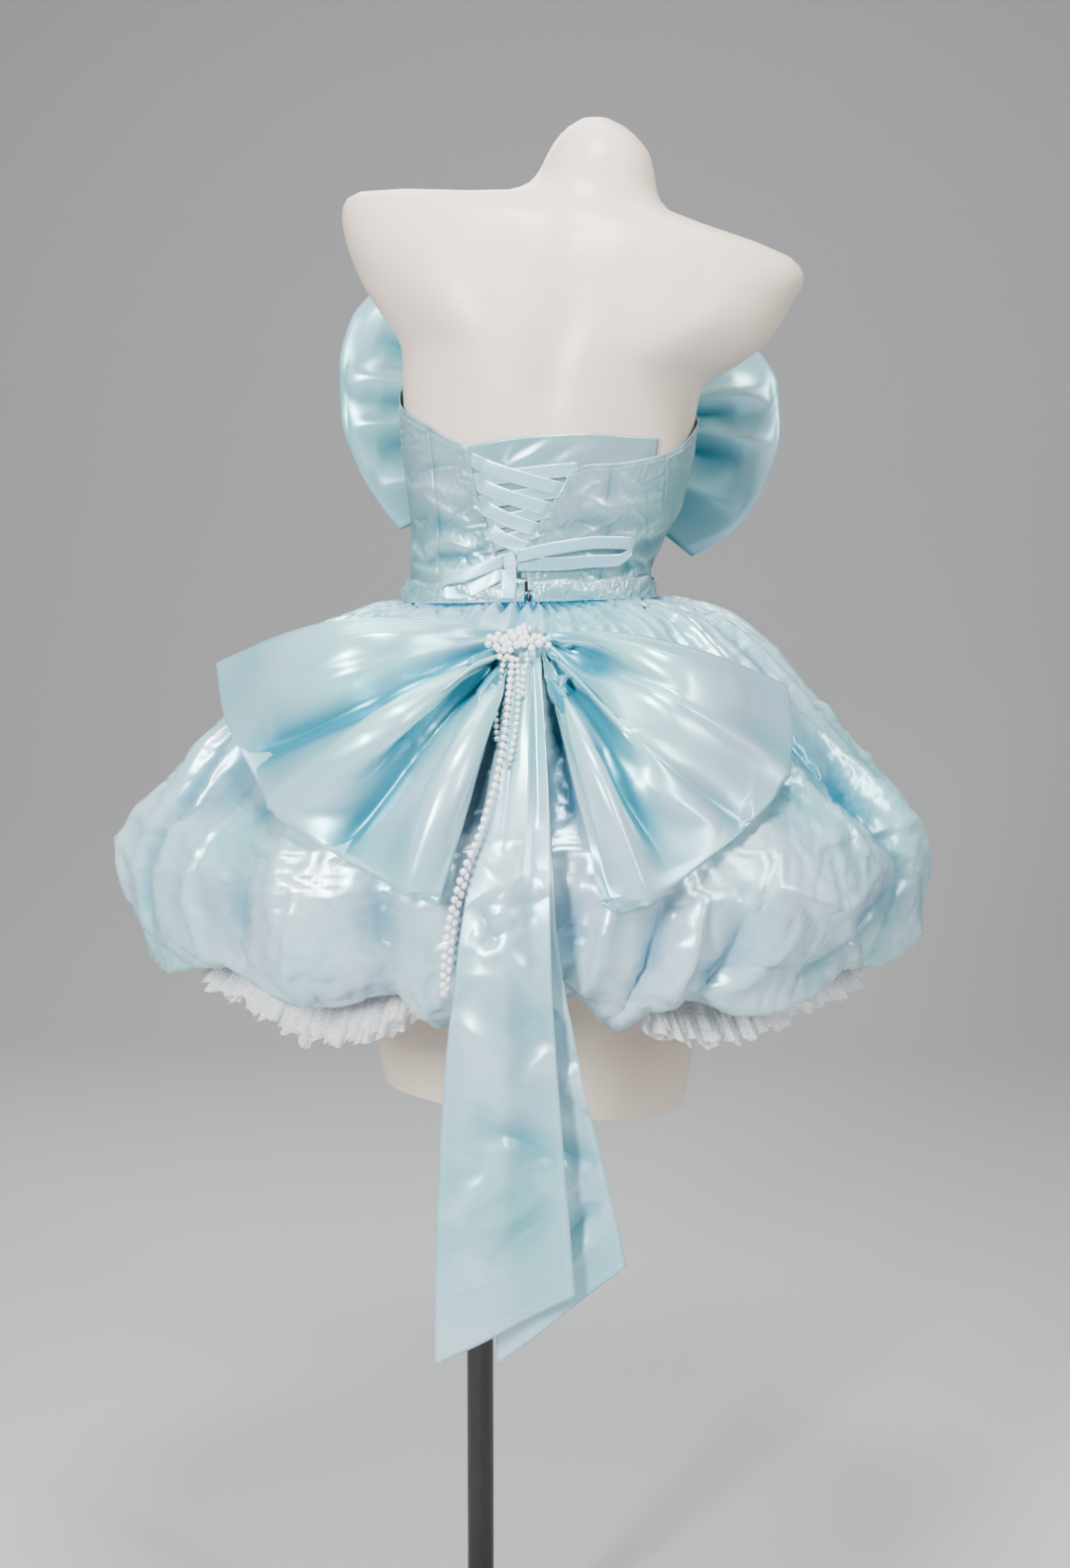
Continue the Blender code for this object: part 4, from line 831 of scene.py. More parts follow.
# Painted shade: the skirt is coloured darker down in its folds and paler on its ridges.
relief = painted_fold_shade(whole, 0.0060, closed=True)
quarter = SKIRT_COLUMNS // 4
for node, first, last in (("skirt_back_left", 0, quarter), ("skirt_front", quarter, 3 * quarter),
                          ("skirt_back_right", 3 * quarter, 4 * quarter)):
    grid = whole.take(range(first, last + 1), axis=1, mode="wrap")
    stands = relief.take(range(first, last + 1), axis=1, mode="wrap")
    piece = place(node.replace("skirt", "skirt_satin"), cloth_mesh(node, grid, stands), skirt_satin,
                  "satin", node)
    thin_shell(piece, SATIN_THICKNESS)

# ---------------------------------------------------------------- waistband and modesty panel
# A straight band of the same organza, folded over the gathers and crushed by the lacing's pull;
# behind the lacing a loose panel covers the gap, its top edge turned and pressed.
BAND_HEIGHT, BAND_LAYER = 0.020, 0.0057
LINING_LAYER = 0.0012
ZIP_HALF_OPENING = 0.0034
BAND_CREASES = 54
BACK_RADIUS = 0.10                  # about the radius of the back where the lacing lies
MODESTY_TOP = [
    Edge(-50, 0.139), Edge(-22, 0.136), Edge(-3, 0.130), Edge(13, 0.124), Edge(25, 0.117),
    Edge(42, 0.108),
]
MODESTY_LEFT, MODESTY_RIGHT, MODESTY_FOOT = 42, -50, 0.007

half_opening = math.degrees(ZIP_HALF_OPENING / BACK_RADIUS)
u, v = np.meshgrid(np.linspace(0, 1, 560), np.linspace(1, 0, 23))
angle = ZIP_SEAM + half_opening + (360 - 2 * half_opening) * u
turn = np.radians(angle)
crushed = np.maximum(0, np.sin(3.1 * turn + 0.4) * np.sin(7 * turn + 1.1))
roll_out = 0.0022 * np.sin(math.pi * v)**0.6 + 0.0018 * crushed * np.sin(2 * math.pi * v + 3 * turn)
slack = 0.0030 * np.sin(4 * turn + 1.0) * np.sin(9 * turn) - 0.001
grid = figure(waist_seam(angle) + BAND_HEIGHT * v + slack * v, angle, BAND_LAYER + roll_out)
for crease in range(BAND_CREASES):
    middle_angle = ZIP_SEAM + half_opening + 6.6 * crease + 3 * math.sin(2.3 * crease)
    low = 0.010 + 0.007 * math.sin(1.7 * crease)
    ends = np.array([middle_angle - 7 - 3 * math.sin(crease), middle_angle, middle_angle + 8])
    rises = waist_seam(ends) + low + np.array([-0.004 * math.sin(3.1 * crease), 0,
                                               0.005 * math.sin(4.7 * crease)])
    line = figure(rises, ends, BAND_LAYER)
    grid = press(grid, line, 0.0022, 0.0021 if crease % 3 else -0.0012)
held = np.full(grid.shape[:2], 0.25)
held[-1:] = held[:1] = 0.7
held[:, :1] = held[:, -1:] = 1
grid = settle(grid, held, growth=0.06, bend=0.3, reach=0.0028, inward=0.15, frames=9)
band = place("waistband_satin", cloth_mesh("waistband", grid, painted_fold_shade(grid, 0.0016)), shaded_bodice_satin,
             "satin", "waistband")
thin_shell(band, SATIN_THICKNESS)
lifted = grid + normals(grid) * (SATIN_THICKNESS / 2 + THREAD / 2)
stitches("waistband_stitches", [lifted[2, 3:-3], lifted[-3, 3:-3]])

u, v = np.meshgrid(np.linspace(0, 1, 90), np.linspace(1, 0, 70))
angle = MODESTY_RIGHT + (MODESTY_LEFT - MODESTY_RIGHT) * u
top = read(MODESTY_TOP, angle).height
billow = 0.0009 * np.sin(9 * v + 7 * u) * np.sin(math.pi * u)
grid = figure(MODESTY_FOOT + (top - MODESTY_FOOT) * v, angle, LINING_LAYER + np.abs(billow))
for stops, width, depth in (([(-4, 0.126), (4, 0.112), (16, 0.098)], 0.0040, 0.0016),
                            ([(-14, 0.128), (-8, 0.116), (6, 0.100)], 0.0030, -0.0008),
                            ([(10, 0.120), (14, 0.104), (8, 0.090)], 0.0035, 0.0014),
                            ([(-22, 0.128), (-10, 0.112), (-4, 0.096)], 0.0040, 0.0014)):
    stops = np.array(stops)
    line = figure(stops[:, 1], stops[:, 0], LINING_LAYER)
    grid = press(grid, line, width, depth)
modesty = place("modesty_panel_satin", cloth_mesh("modesty_panel", grid, painted_fold_shade(grid, 0.003)),
                shaded_bodice_satin, "satin", "modesty_panel")
thin_shell(modesty, SATIN_THICKNESS)

# ---------------------------------------------------------------- zip
# A narrow zip in the centre back seam, coloured near black as painted shade at the top of the
# back opening. Only its slot shows below the lacing: the woven tape, two rows of moulded teeth
# and a small painted slider at the top.
ZIP_TOP, ZIP_LENGTH = 0.002, 0.024
TOOTH_PITCH, TOOTH_WIDTH, TOOTH_LENGTH = 0.0011, 0.0012, 0.0007
SLIDER_TOP, SLIDER_HEIGHT, SLIDER_HALF_WIDTH = -0.0045, 0.008, 0.0020
SLIDER_OUT, SLIDER_HALF_DEPTH = 0.0034, 0.0013

# Painted shade: tape, teeth and slider are near black for the shade in the opening; the ribs and chips
# are their own.
shade_dark_tape_cloth, shader, wire = new_finish("zip_tape", Roughness=0.85)
cloth = wire.node("TexCoord", output="UV")
ribs = wire.node("TexWave", {"bands_direction": "Y"}, {"Vector": cloth, "Scale": 600.0})
ribs.blend((0.020, 0.022, 0.026), (0.045, 0.048, 0.055)).into(shader, "Base Color")
ribs.bump(0.0001).into(shader, "Normal")
shade_dark_zip_paint, shader, wire = new_finish("shade_darkened_teeth", Roughness=0.35, Metallic=0.6)
spot = wire.node("TexCoord", output="Object")
chips = spot.noise(900.0, 4.0)
chips.blend((0.030, 0.030, 0.034), (0.12, 0.12, 0.13)).into(shader, "Base Color")
(chips * 0.3 + 0.25).into(shader, "Roughness")

u, v = np.meshgrid(np.linspace(0, 1, 17), np.linspace(1, 0, 25))
angle = ZIP_SEAM - 4 + 8 * u
grid = figure(waist_seam(angle) - 0.006 + ZIP_LENGTH * v, angle, LINING_LAYER + 0.0002)
tape = place("zip_tape_cloth", sheet_mesh("zip_tape", grid), shade_dark_tape_cloth, "zip", "back_zip")
thin_shell(tape, 0.0006)

tooth_lines = []
for side in (-1, 1):
    down = np.linspace(ZIP_TOP, ZIP_TOP - ZIP_LENGTH * 0.8, 16)
    offset = math.degrees(TOOTH_WIDTH * 0.55 / BACK_RADIUS) * side
    tooth_lines.append(figure(down, ZIP_SEAM + offset, LINING_LAYER + 0.0009))
teeth = beads_on("zip_teeth", tooth_lines, shade_dark_zip_paint, Spacing=TOOTH_PITCH, Width=TOOTH_WIDTH,
                 Length=TOOTH_LENGTH, Unevenness=0.05, Sides=6)
place("zip_teeth", teeth, shade_dark_zip_paint, "zip")

slider = bmesh.new()
bmesh.ops.create_cube(slider, size=2)
bmesh.ops.bevel(slider, geom=slider.edges[:], offset=0.35, segments=3, affect="EDGES")
for point in slider.verts:
    across, out, down = point.co.x, point.co.y, point.co.z
    waisted = 1 - 0.35 * (down < 0) * abs(down)
    spot_angle = ZIP_SEAM + math.degrees(SLIDER_HALF_WIDTH * across * waisted / BACK_RADIUS)
    height = SLIDER_TOP - SLIDER_HEIGHT * (1 - down) / 2
    at = figure(height, spot_angle, SLIDER_OUT + SLIDER_HALF_DEPTH * out)
    point.co = Vector(at) - Vector((POLE_SHIFT, 0, 0))
bmesh.ops.recalc_face_normals(slider, faces=slider.faces)
slider_mesh = bpy.data.meshes.new("zip_slider_body")
slider.to_mesh(slider_mesh)
slider.free()
slider_mesh.shade_smooth()
place("zip_slider_body", slider_mesh, shade_dark_zip_paint, "zip", "zip_slider")

# ---------------------------------------------------------------- petticoat
# Stiff white net: a plain ring from the hips with four strips of net gathered onto it near its
# edge, each far longer than the ring, so that the cut edges stand out in crowded uneven ruffles.
Tier = namedtuple("Tier", "place spread drop wave")
PETTICOAT = [
    Tier(0, -0.0050, -0.034, 0.0002), Tier(1, 0.036, -0.070, 0.0030),
    Tier(2, 0.082, -0.140, 0.0050), Tier(3, 0.122, -0.215, 0.0060),
    Tier(4, 0.150, -0.285, 0.0070), Tier(5, 0.160, -0.322, 0.0080),
    Tier(6, 0.176, -0.350, 0.0100),
]
NET_TUCK = 0.7
NET_HEM = [
    Edge(-150, 0.006), Edge(-120, 0.012), Edge(-90, -0.004), Edge(-65, 0.000),
    Edge(-49, 0.008), Edge(-36, 0.020), Edge(-28, 0.014), Edge(-20, -0.002),
    Edge(-8, -0.030), Edge(8, -0.030), Edge(20, 0.006), Edge(28, 0.020), Edge(34, 0.022),
    Edge(43, 0.010), Edge(55, 0.002), Edge(80, -0.008), Edge(110, 0.008), Edge(150, 0.012),
]
Ruffle = namedtuple("Ruffle", "start waves depth out rise seed")
RUFFLES = [
    Ruffle(3.4, 86, 0.0066, -0.006, 0.010, 0.3), Ruffle(4.0, 98, 0.0072, 0.000, 0.004, 1.9),
    Ruffle(4.6, 108, 0.0076, 0.006, 0.000, 3.1), Ruffle(4.9, 78, 0.0070, -0.003, -0.003, 4.7),
]
NET_COLUMNS, NET_LINES = 1080, 12

net, shader, wire = new_finish("stiff_net", Roughness=0.7, Sheen_Weight=0.5, Subsurface_Weight=0.15)
cloth = wire.node("TexCoord", output="UV")
wales = wire.node("TexVoronoi", {"feature": "DISTANCE_TO_EDGE"}, {"Vector": cloth, "Scale": 620.0})
holes = (1 - (wales * 9).clamped()) * 0.60
folds = cloth.noise(55.0, 4.0)
folds.blend((0.80, 0.80, 0.83), (0.92, 0.92, 0.94)).into(shader, "Base Color")
(holes + folds * 0.50 + 0.12).clamped().into(shader, "Alpha")
folds.bump(0.0006).into(shader, "Normal")


def net_ring(angle, place_down, wave, extra):
    """Points of the petticoat's ring, from the hips (0) to its lowest edge (6)."""
    tier = read(PETTICOAT, place_down)
    turn = np.radians(angle)
    hips = figure(-0.034, angle, 0.0075)
    v = place_down / 6
    fall = around(NET_HEM, angle).height * np.maximum(0, v - 0.6) / 0.4
    spread = tier.spread + wave + extra - NET_TUCK * np.maximum(0, -fall)
    return np.stack([hips[..., 0] + spread * np.sin(turn),
                     hips[..., 1] + spread * SKIRT_DEPTH * np.cos(turn),
                     WAIST + tier.drop - fall + (hips[..., 2] - WAIST + 0.034) * (1 - v)], axis=-1)


net_parts = bmesh.new()
angles = 360 * np.arange(NET_COLUMNS) / NET_COLUMNS
turn = np.radians(angles)[None, :]
rows = np.linspace(0, 5.2, 26)[:, None]
ring = net_ring(angles[None, ::3], rows, 0.004 * np.cos(80 * turn[:, ::3]) * rows / 6, 0)
layers = [ring]
for ruffle in RUFFLES:
    down = np.linspace(0, 1, NET_LINES)[:, None]
    phase = ruffle.waves * turn + 1.6 * np.sin(7 * turn + ruffle.seed) + 1.1 * np.sin(17 * turn)
    second = np.sin(2.37 * ruffle.waves * turn + ruffle.seed + 2 * down)
    opening = down**0.7
    wave = ruffle.depth * opening * (np.cos(phase) + 0.45 * second)
    crowd = 0.75 + 0.45 * np.sin(13 * turn + ruffle.seed) * np.sin(5 * turn + 2 * ruffle.seed)
    wave *= crowd + 0.25 * np.sin(31 * turn + ruffle.seed)
    ragged = (0.0050 * np.sin(29 * turn + ruffle.seed) * np.sin(13 * turn)
              + 0.0020 * np.sin(71 * turn + 2 * ruffle.seed))
    sway = opening * (0.9 * np.sin(2 * phase) + 0.5 * np.sin(phase * 1.5 + ruffle.seed)) * 0.34
    place_down = ruffle.start + (6 - ruffle.start) * down
    layer = net_ring(angles[None, :] + sway, place_down, wave, ruffle.out * down)
    curl = 0.0018 * opening * np.sin(1.5 * phase + 1.3 * ruffle.seed)
    layer[..., 2] += (ruffle.rise + ragged) * down + curl
    layers.append(layer)
for number, layer in enumerate(layers):
    net_parts.from_mesh(sheet_mesh(f"net_{number}", layer, closed=True))
net_mesh = bpy.data.meshes.new("petticoat_net")
net_parts.to_mesh(net_mesh)
net_parts.free()
net_mesh.shade_smooth()
petticoat = place("petticoat_net", net_mesh, net, "net", "petticoat")

# ---------------------------------------------------------------- bows
# Each bow is a wide doubled band of organza with pressed edges, gathered into a tight band at
# its middle; the back one droops over the skirt with two long tails. Its folds run from the knot
# out to the outer edge, and fine pleats fill the cloth close to the knot.
Ray = namedtuple("Ray", "place x y height arch hump swell crease")
BACK_LEFT_FAN = [
    Ray(0.00, 0.263, 0.122, -0.064, 0.026, 0.020, 0.020, 0.000),
    Ray(0.16, 0.254, 0.142, -0.103, 0.016, 0.018, 0.038, 0.008),
    Ray(0.33, 0.221, 0.196, -0.146, 0.004, 0.018, 0.030, -0.012),
    Ray(0.48, 0.190, 0.242, -0.178, 0.002, 0.022, 0.034, 0.012),
    Ray(0.62, 0.152, 0.274, -0.198, 0.000, 0.016, 0.030, -0.012),
    Ray(0.76, 0.110, 0.299, -0.216, 0.000, 0.010, 0.028, -0.008),
    Ray(0.90, 0.076, 0.314, -0.231, 0.000, 0.006, 0.030, 0.010),
    Ray(1.00, 0.054, 0.320, -0.238, 0.000, 0.004, 0.012, 0.000),
]
BACK_RIGHT_FAN = [
    Ray(0.00, -0.221, 0.128, -0.081, 0.016, 0.018, 0.020, 0.000),
    Ray(0.16, -0.224, 0.154, -0.114, 0.012, 0.020, 0.036, 0.006),
    Ray(0.33, -0.216, 0.194, -0.152, 0.006, 0.022, 0.030, -0.006),
    Ray(0.48, -0.186, 0.244, -0.182, 0.002, 0.022, 0.032, 0.006),
    Ray(0.64, -0.146, 0.281, -0.210, 0.000, 0.016, 0.026, -0.012),
    Ray(0.78, -0.113, 0.303, -0.232, 0.000, 0.010, 0.028, 0.010),
    Ray(0.91, -0.085, 0.314, -0.243, 0.000, 0.006, 0.024, 0.008),
    Ray(1.00, -0.070, 0.317, -0.236, 0.000, 0.004, 0.012, 0.000),
]
FRONT_LEFT_FAN = [
    Ray(0.00, 0.150, -0.112, 0.285, 0.012, 0.008, 0.020, 0.000),
    Ray(0.18, 0.179, -0.104, 0.250, 0.006, 0.010, 0.040, 0.008),
    Ray(0.38, 0.190, -0.100, 0.205, 0.002, 0.010, 0.034, -0.010),
    Ray(0.58, 0.189, -0.100, 0.160, 0.000, 0.010, 0.034, 0.010),
    Ray(0.78, 0.173, -0.102, 0.110, -0.002, 0.010, 0.036, -0.008),
    Ray(0.92, 0.151, -0.106, 0.073, -0.004, 0.010, 0.034, 0.006),
    Ray(1.00, 0.134, -0.112, 0.052, -0.006, 0.008, 0.018, 0.000),
]
FRONT_RIGHT_FAN = [
    Ray(0.00, -0.172, -0.112, 0.262, 0.012, 0.008, 0.020, 0.000),
    Ray(0.18, -0.204, -0.104, 0.222, 0.006, 0.010, 0.040, 0.008),
    Ray(0.38, -0.225, -0.100, 0.186, 0.002, 0.010, 0.034, -0.010),
    Ray(0.58, -0.228, -0.100, 0.143, 0.000, 0.010, 0.034, 0.010),
    Ray(0.78, -0.214, -0.102, 0.094, -0.002, 0.010, 0.036, -0.008),
    Ray(0.92, -0.184, -0.106, 0.050, -0.004, 0.010, 0.034, 0.006),
    Ray(1.00, -0.146, -0.112, 0.026, -0.006, 0.008, 0.018, 0.000),
]
Knot = namedtuple("Knot", "x y height half_width half_depth half_height roll tilt")
BACK_KNOT = Knot(-0.005, 0.1810, -0.0450, 0.0125, 0.0095, 0.0165, 4, 38)
FRONT_KNOT = Knot(-0.012, -0.1367, 0.1530, 0.0230, 0.0140, 0.0270, -6, 0)
KNOT_FULLNESS, PINCH, FOLD_WIDTH = 0.955, 0.0034, 0.020
LOOP_COLUMNS, LOOP_STEPS = 96, 61
BOW_THICKNESS = 0.0008


def fan(rays, knot, side, u, out, face):
    """Points of a bow loop: u from its upper to its lower edge, out from the knot to the fold,
    face 1 on the outer layer and -1 on the inner one. side is 1 behind and -1 in front."""
    u, out, face = np.broadcast_arrays(u, out, face)
    ray = read(rays, u)
    toward = 1 if rays[0].x > 0 else -1
    pinched = knot.half_height * 0.70 * (1 - 2 * u)
    tilt = math.radians(knot.tilt)
    start = np.stack([np.full(u.shape, knot.x + toward * (KNOT_FULLNESS * knot.half_width + 0.0008)),
                      knot.y - pinched * math.sin(tilt),
                      WAIST + knot.height + pinched * math.cos(tilt)], axis=-1)
    end = np.stack([ray.x, ray.y, WAIST + ray.height], axis=-1)
    middle = start + (end - start) * out[..., None]
    bulge = np.sin(math.pi * out)
    parting = PINCH + FOLD_WIDTH * out + ray.swell * np.maximum(bulge, 0)**1.5
    crease = ray.crease * out**0.7 * (1 - out**3) * np.where(face > 0, 1.1, 0.3)
    middle[..., 2] += ray.arch * bulge
    middle[..., 1] += side * (0.5 * (parting - PINCH) + crease + ray.hump * bulge**2)
    along = end - start
    along /= np.linalg.norm(along, axis=-1, keepdims=True)
    upright = np.array([0, side, 0.0]) - along * (along[..., 1:2] * side)
    upright /= np.linalg.norm(upright, axis=-1, keepdims=True)
    opened = np.sqrt(np.maximum(0, 1 - out**6))
    return middle + upright * (0.5 * parting * face * opened)[..., None]


# Folds of a loop: from u and out to u and out, its width and its depth, + towards the viewer.
Fold = namedtuple("Fold", "u out to_u to_out width depth")
BACK_LEFT_FOLDS = [
    Fold(0.10, 0.10, 0.06, 0.85, 0.014, 0.004), Fold(0.17, 0.20, 0.16, 0.75, 0.010, -0.004),
    Fold(0.30, 0.00, 0.30, 1.15, 0.020, -0.016), Fold(0.44, -0.10, 0.47, 1.15, 0.022, 0.016),
    Fold(0.62, -0.10, 0.66, 1.15, 0.016, -0.020), Fold(0.84, -0.10, 0.90, 1.15, 0.016, 0.012),
    Fold(0.95, -0.10, 0.97, 0.60, 0.006, -0.006), Fold(0.36, -0.10, 0.34, 0.35, 0.006, -0.007),
    Fold(0.52, -0.10, 0.54, 0.35, 0.005, -0.006), Fold(0.74, -0.10, 0.76, 0.45, 0.006, -0.007),
    Fold(0.20, -0.10, 0.20, 0.30, 0.006, -0.005), Fold(0.38, 0.55, 0.30, 0.95, 0.010, 0.004),
]
BACK_RIGHT_FOLDS = [
    Fold(0.10, -0.10, 0.12, 0.80, 0.018, 0.009), Fold(0.24, -0.10, 0.24, 0.55, 0.012, -0.013),
    Fold(0.30, 0.20, 0.34, 1.15, 0.012, 0.011), Fold(0.42, -0.10, 0.50, 0.48, 0.012, -0.016),
    Fold(0.40, -0.10, 0.56, 0.55, 0.007, 0.010), Fold(0.50, 0.45, 0.48, 1.15, 0.016, -0.010),
    Fold(0.72, -0.10, 0.84, 1.15, 0.014, 0.014), Fold(0.60, -0.05, 0.72, 0.95, 0.014, -0.016),
    Fold(0.91, -0.10, 0.95, 1.15, 0.010, -0.009), Fold(0.62, 0.62, 0.54, 0.95, 0.010, 0.007),
    Fold(0.16, -0.10, 0.17, 0.30, 0.005, -0.006), Fold(0.80, -0.10, 0.80, 0.35, 0.005, -0.006),
]
FRONT_FOLDS = [
    Fold(0.12, -0.10, 0.08, 0.95, 0.020, 0.010), Fold(0.24, -0.10, 0.22, 0.85, 0.016, -0.014),
    Fold(0.36, -0.10, 0.40, 0.97, 0.016, 0.014), Fold(0.48, -0.10, 0.50, 0.80, 0.012, -0.013),
    Fold(0.58, 0.30, 0.62, 0.97, 0.018, 0.012), Fold(0.70, -0.10, 0.72, 0.86, 0.014, -0.014),
    Fold(0.84, -0.10, 0.86, 0.95, 0.014, 0.010), Fold(0.30, 0.60, 0.46, 0.97, 0.012, 0.006),
]
# The bow satin's first colour is the painted shade down in its folds.
bow_satin = satin("bow_satin", (0.012, 0.25, 0.35), crumple=0.25)


def fold_line(fold, count):
    """u and out at evenly spaced places along a fold."""
    t = np.linspace(0, 1, count)
    return fold.u + (fold.to_u - fold.u) * t, fold.out + (fold.to_out - fold.out) * t


def bow_loop(name, rays, knot, side, folds):
    """One loop of a bow: its fan with the folds pressed in, as a thin shell."""
    along = np.linspace(0, 1, LOOP_STEPS)
    near = np.sin(along * math.pi / 2)
    out = np.concatenate([near, near[-2::-1]])[:, None]
    face = np.concatenate([np.ones(LOOP_STEPS), -np.ones(LOOP_STEPS - 1)])[:, None]
    u = np.linspace(0, 1, LOOP_COLUMNS)[None, :]
    grid = fan(rays, knot, side, u, out, face)
    outward = -side * (1 if rays[0].x > 0 else -1)
    front = slice(0, LOOP_STEPS - 2)
    rear = slice(LOOP_STEPS + 1, None)
    plain = grid.copy()
    for fold in folds:
        across, away = fold_line(fold, 12)
        for layer, facing in ((front, 1), (rear, -1)):
            if facing > 0 or side < 0:
                line = fan(rays, knot, side, across, np.clip(away, 0, 1), facing)
                grid[layer] = press(grid[layer], line, fold.width, outward * fold.depth)
    past_knot = np.clip(out / 0.24, 0, 1)[..., None]
    grid = plain + (grid - plain) * past_knot**2 * (3 - 2 * past_knot)
    pleats = 0.0020 * np.exp(-((out - 0.13) / 0.12)**2) * np.sin(2 * math.pi * 5.5 * u + 0.8)
    grid += normals(grid) * (outward * pleats)[..., None]
    # Painted shade: each layer of the loop is coloured darker down in its folds.
    relief = np.full(grid.shape[:2], 0.3)
    relief[front], relief[rear] = painted_fold_shade(grid[front], 0.0060), painted_fold_shade(grid[rear], 0.0060)
    if outward < 0:
        relief = 1 - relief
    piece = place(name.replace("loop", "loop_satin"), cloth_mesh(name, grid, relief), bow_satin,
                  "satin", name)
    thin_shell(piece, BOW_THICKNESS)
    "back_bow_knot" if side > 0 else "front_bow_knot"
    lifted = grid + normals(grid) * (BOW_THICKNESS / 2 + THREAD / 2) * outward
    return [lifted[6:LOOP_STEPS - 4, 2], lifted[6:LOOP_STEPS - 4, -3]]


loop_lines = []
for name, rays, knot, side, folds in (
        ("back_bow_loop_left", BACK_LEFT_FAN, BACK_KNOT, 1, BACK_LEFT_FOLDS),
        ("back_bow_loop_right", BACK_RIGHT_FAN, BACK_KNOT, 1, BACK_RIGHT_FOLDS),
        ("front_bow_loop_left", FRONT_LEFT_FAN, FRONT_KNOT, -1, FRONT_FOLDS),
        ("front_bow_loop_right", FRONT_RIGHT_FAN, FRONT_KNOT, -1, FRONT_FOLDS)):
    loop_lines += bow_loop(name, rays, knot, side, folds)


def knot_mesh(name, knot, ridges, depth):
    """The band round a bow's middle: a soft barrel of cloth folded in ridges round it."""
    turn = np.linspace(0, 2 * math.pi, 65)[None, :-1]
    across = np.sin(np.linspace(-0.5, 0.5, 41) * math.pi)[:, None]
    full = (1 - np.abs(across)**3.2)**0.42
    fold = depth * np.cos(ridges * math.pi * across + 0.9 * np.sin(turn) + 0.5) * (1 - across**4)
    waist = full * (1 - 0.10 * np.cos(2 * turn)) + fold / knot.half_depth
    x = knot.half_width * 1.04 * across * np.ones_like(turn)
    y = knot.half_depth * waist * np.cos(turn)
    z = knot.half_height * waist * np.sin(turn)
    tilt, roll = math.radians(knot.tilt), math.radians(knot.roll)
    rolled_x = x * math.cos(roll) + z * math.sin(roll)
    rolled_z = z * math.cos(roll) - x * math.sin(roll)
    back = y * math.cos(tilt) - rolled_z * math.sin(tilt)
    up = y * math.sin(tilt) + rolled_z * math.cos(tilt)
    grid = np.stack([knot.x + rolled_x, knot.y + back, WAIST + knot.height + up], axis=-1)
    mesh = close_up(sheet_mesh(name, grid, closed=True), weld=0.00002)
    # One even level of the painted fold shade for the whole knot.
    keep_painted_shade(mesh, [0.6] * len(mesh.vertices))
    mesh.shade_smooth()
    return mesh


for name, knot in (("back_bow_knot", BACK_KNOT), ("front_bow_knot", FRONT_KNOT)):
    band = place(name + "_satin", knot_mesh(name, knot, 4.5, 0.0011), bow_satin, "satin", name)

Fall = namedtuple("Fall", "place left left_drop right right_drop y wave")
FRONT_TAIL = [
    Fall(0, 0.0025, -0.0552, -0.0165, -0.0552, 0.1923, 0.000),
    Fall(1, 0.0080, -0.0860, -0.0200, -0.0860, 0.2220, 0.002),
    Fall(2, 0.0165, -0.1250, -0.0240, -0.1250, 0.2560, 0.003),
    Fall(3, 0.0230, -0.1650, -0.0275, -0.1650, 0.2845, 0.003),
    Fall(4, 0.0310, -0.2100, -0.0295, -0.2100, 0.3095, 0.003),
    Fall(5, 0.0385, -0.2550, -0.0305, -0.2550, 0.3200, 0.003),
    Fall(6, 0.0445, -0.3100, -0.0325, -0.3100, 0.3230, 0.004),
    Fall(7, 0.0520, -0.3800, -0.0365, -0.3750, 0.3230, 0.004),
    Fall(8, 0.0565, -0.4500, -0.0410, -0.4350, 0.3220, 0.004),
    Fall(9, 0.0595, -0.5250, -0.0455, -0.4900, 0.3210, 0.003),
    Fall(10, 0.0605, -0.6060, -0.0500, -0.5480, 0.3200, 0.002),
]
REAR_TAIL = [
    Fall(0, 0.0025, -0.0583, -0.0145, -0.0583, 0.1887, 0.000),
    Fall(1, 0.0040, -0.0920, -0.0190, -0.0920, 0.2150, -0.001),
    Fall(2, 0.0050, -0.1320, -0.0240, -0.1320, 0.2440, -0.001),
    Fall(3, 0.0050, -0.1720, -0.0280, -0.1720, 0.2710, -0.001),
    Fall(4, 0.0060, -0.2160, -0.0310, -0.2160, 0.2965, -0.001),
    Fall(5, 0.0080, -0.2620, -0.0345, -0.2620, 0.3060, 0.001),
    Fall(6, 0.0100, -0.3250, -0.0450, -0.3250, 0.3080, 0.003),
    Fall(7, 0.0120, -0.3950, -0.0575, -0.3900, 0.3075, 0.004),
    Fall(8, 0.0135, -0.4650, -0.0710, -0.4450, 0.3070, 0.004),
    Fall(9, 0.0150, -0.5350, -0.0820, -0.4900, 0.3060, 0.003),
    Fall(10, 0.0120, -0.6100, -0.0900, -0.5280, 0.3050, 0.002),
]
TAIL_COLUMNS, TAIL_LINES, SMALL_TAIL_FOLDS = 50, 225, 60


def tail(rows, u, v):
    """Points of a tail: u from its right to its left edge, v from the knot to its end."""
    fall = read(rows, v * 10)
    x = fall.left * (1 - u) + fall.right * u
    drop = fall.left_drop * (1 - u) + fall.right_drop * u
    back = fall.y + fall.wave * np.sin(2 * math.pi * (u * 1.1 - 0.1))
    return np.stack([x, back, WAIST + drop], axis=-1)


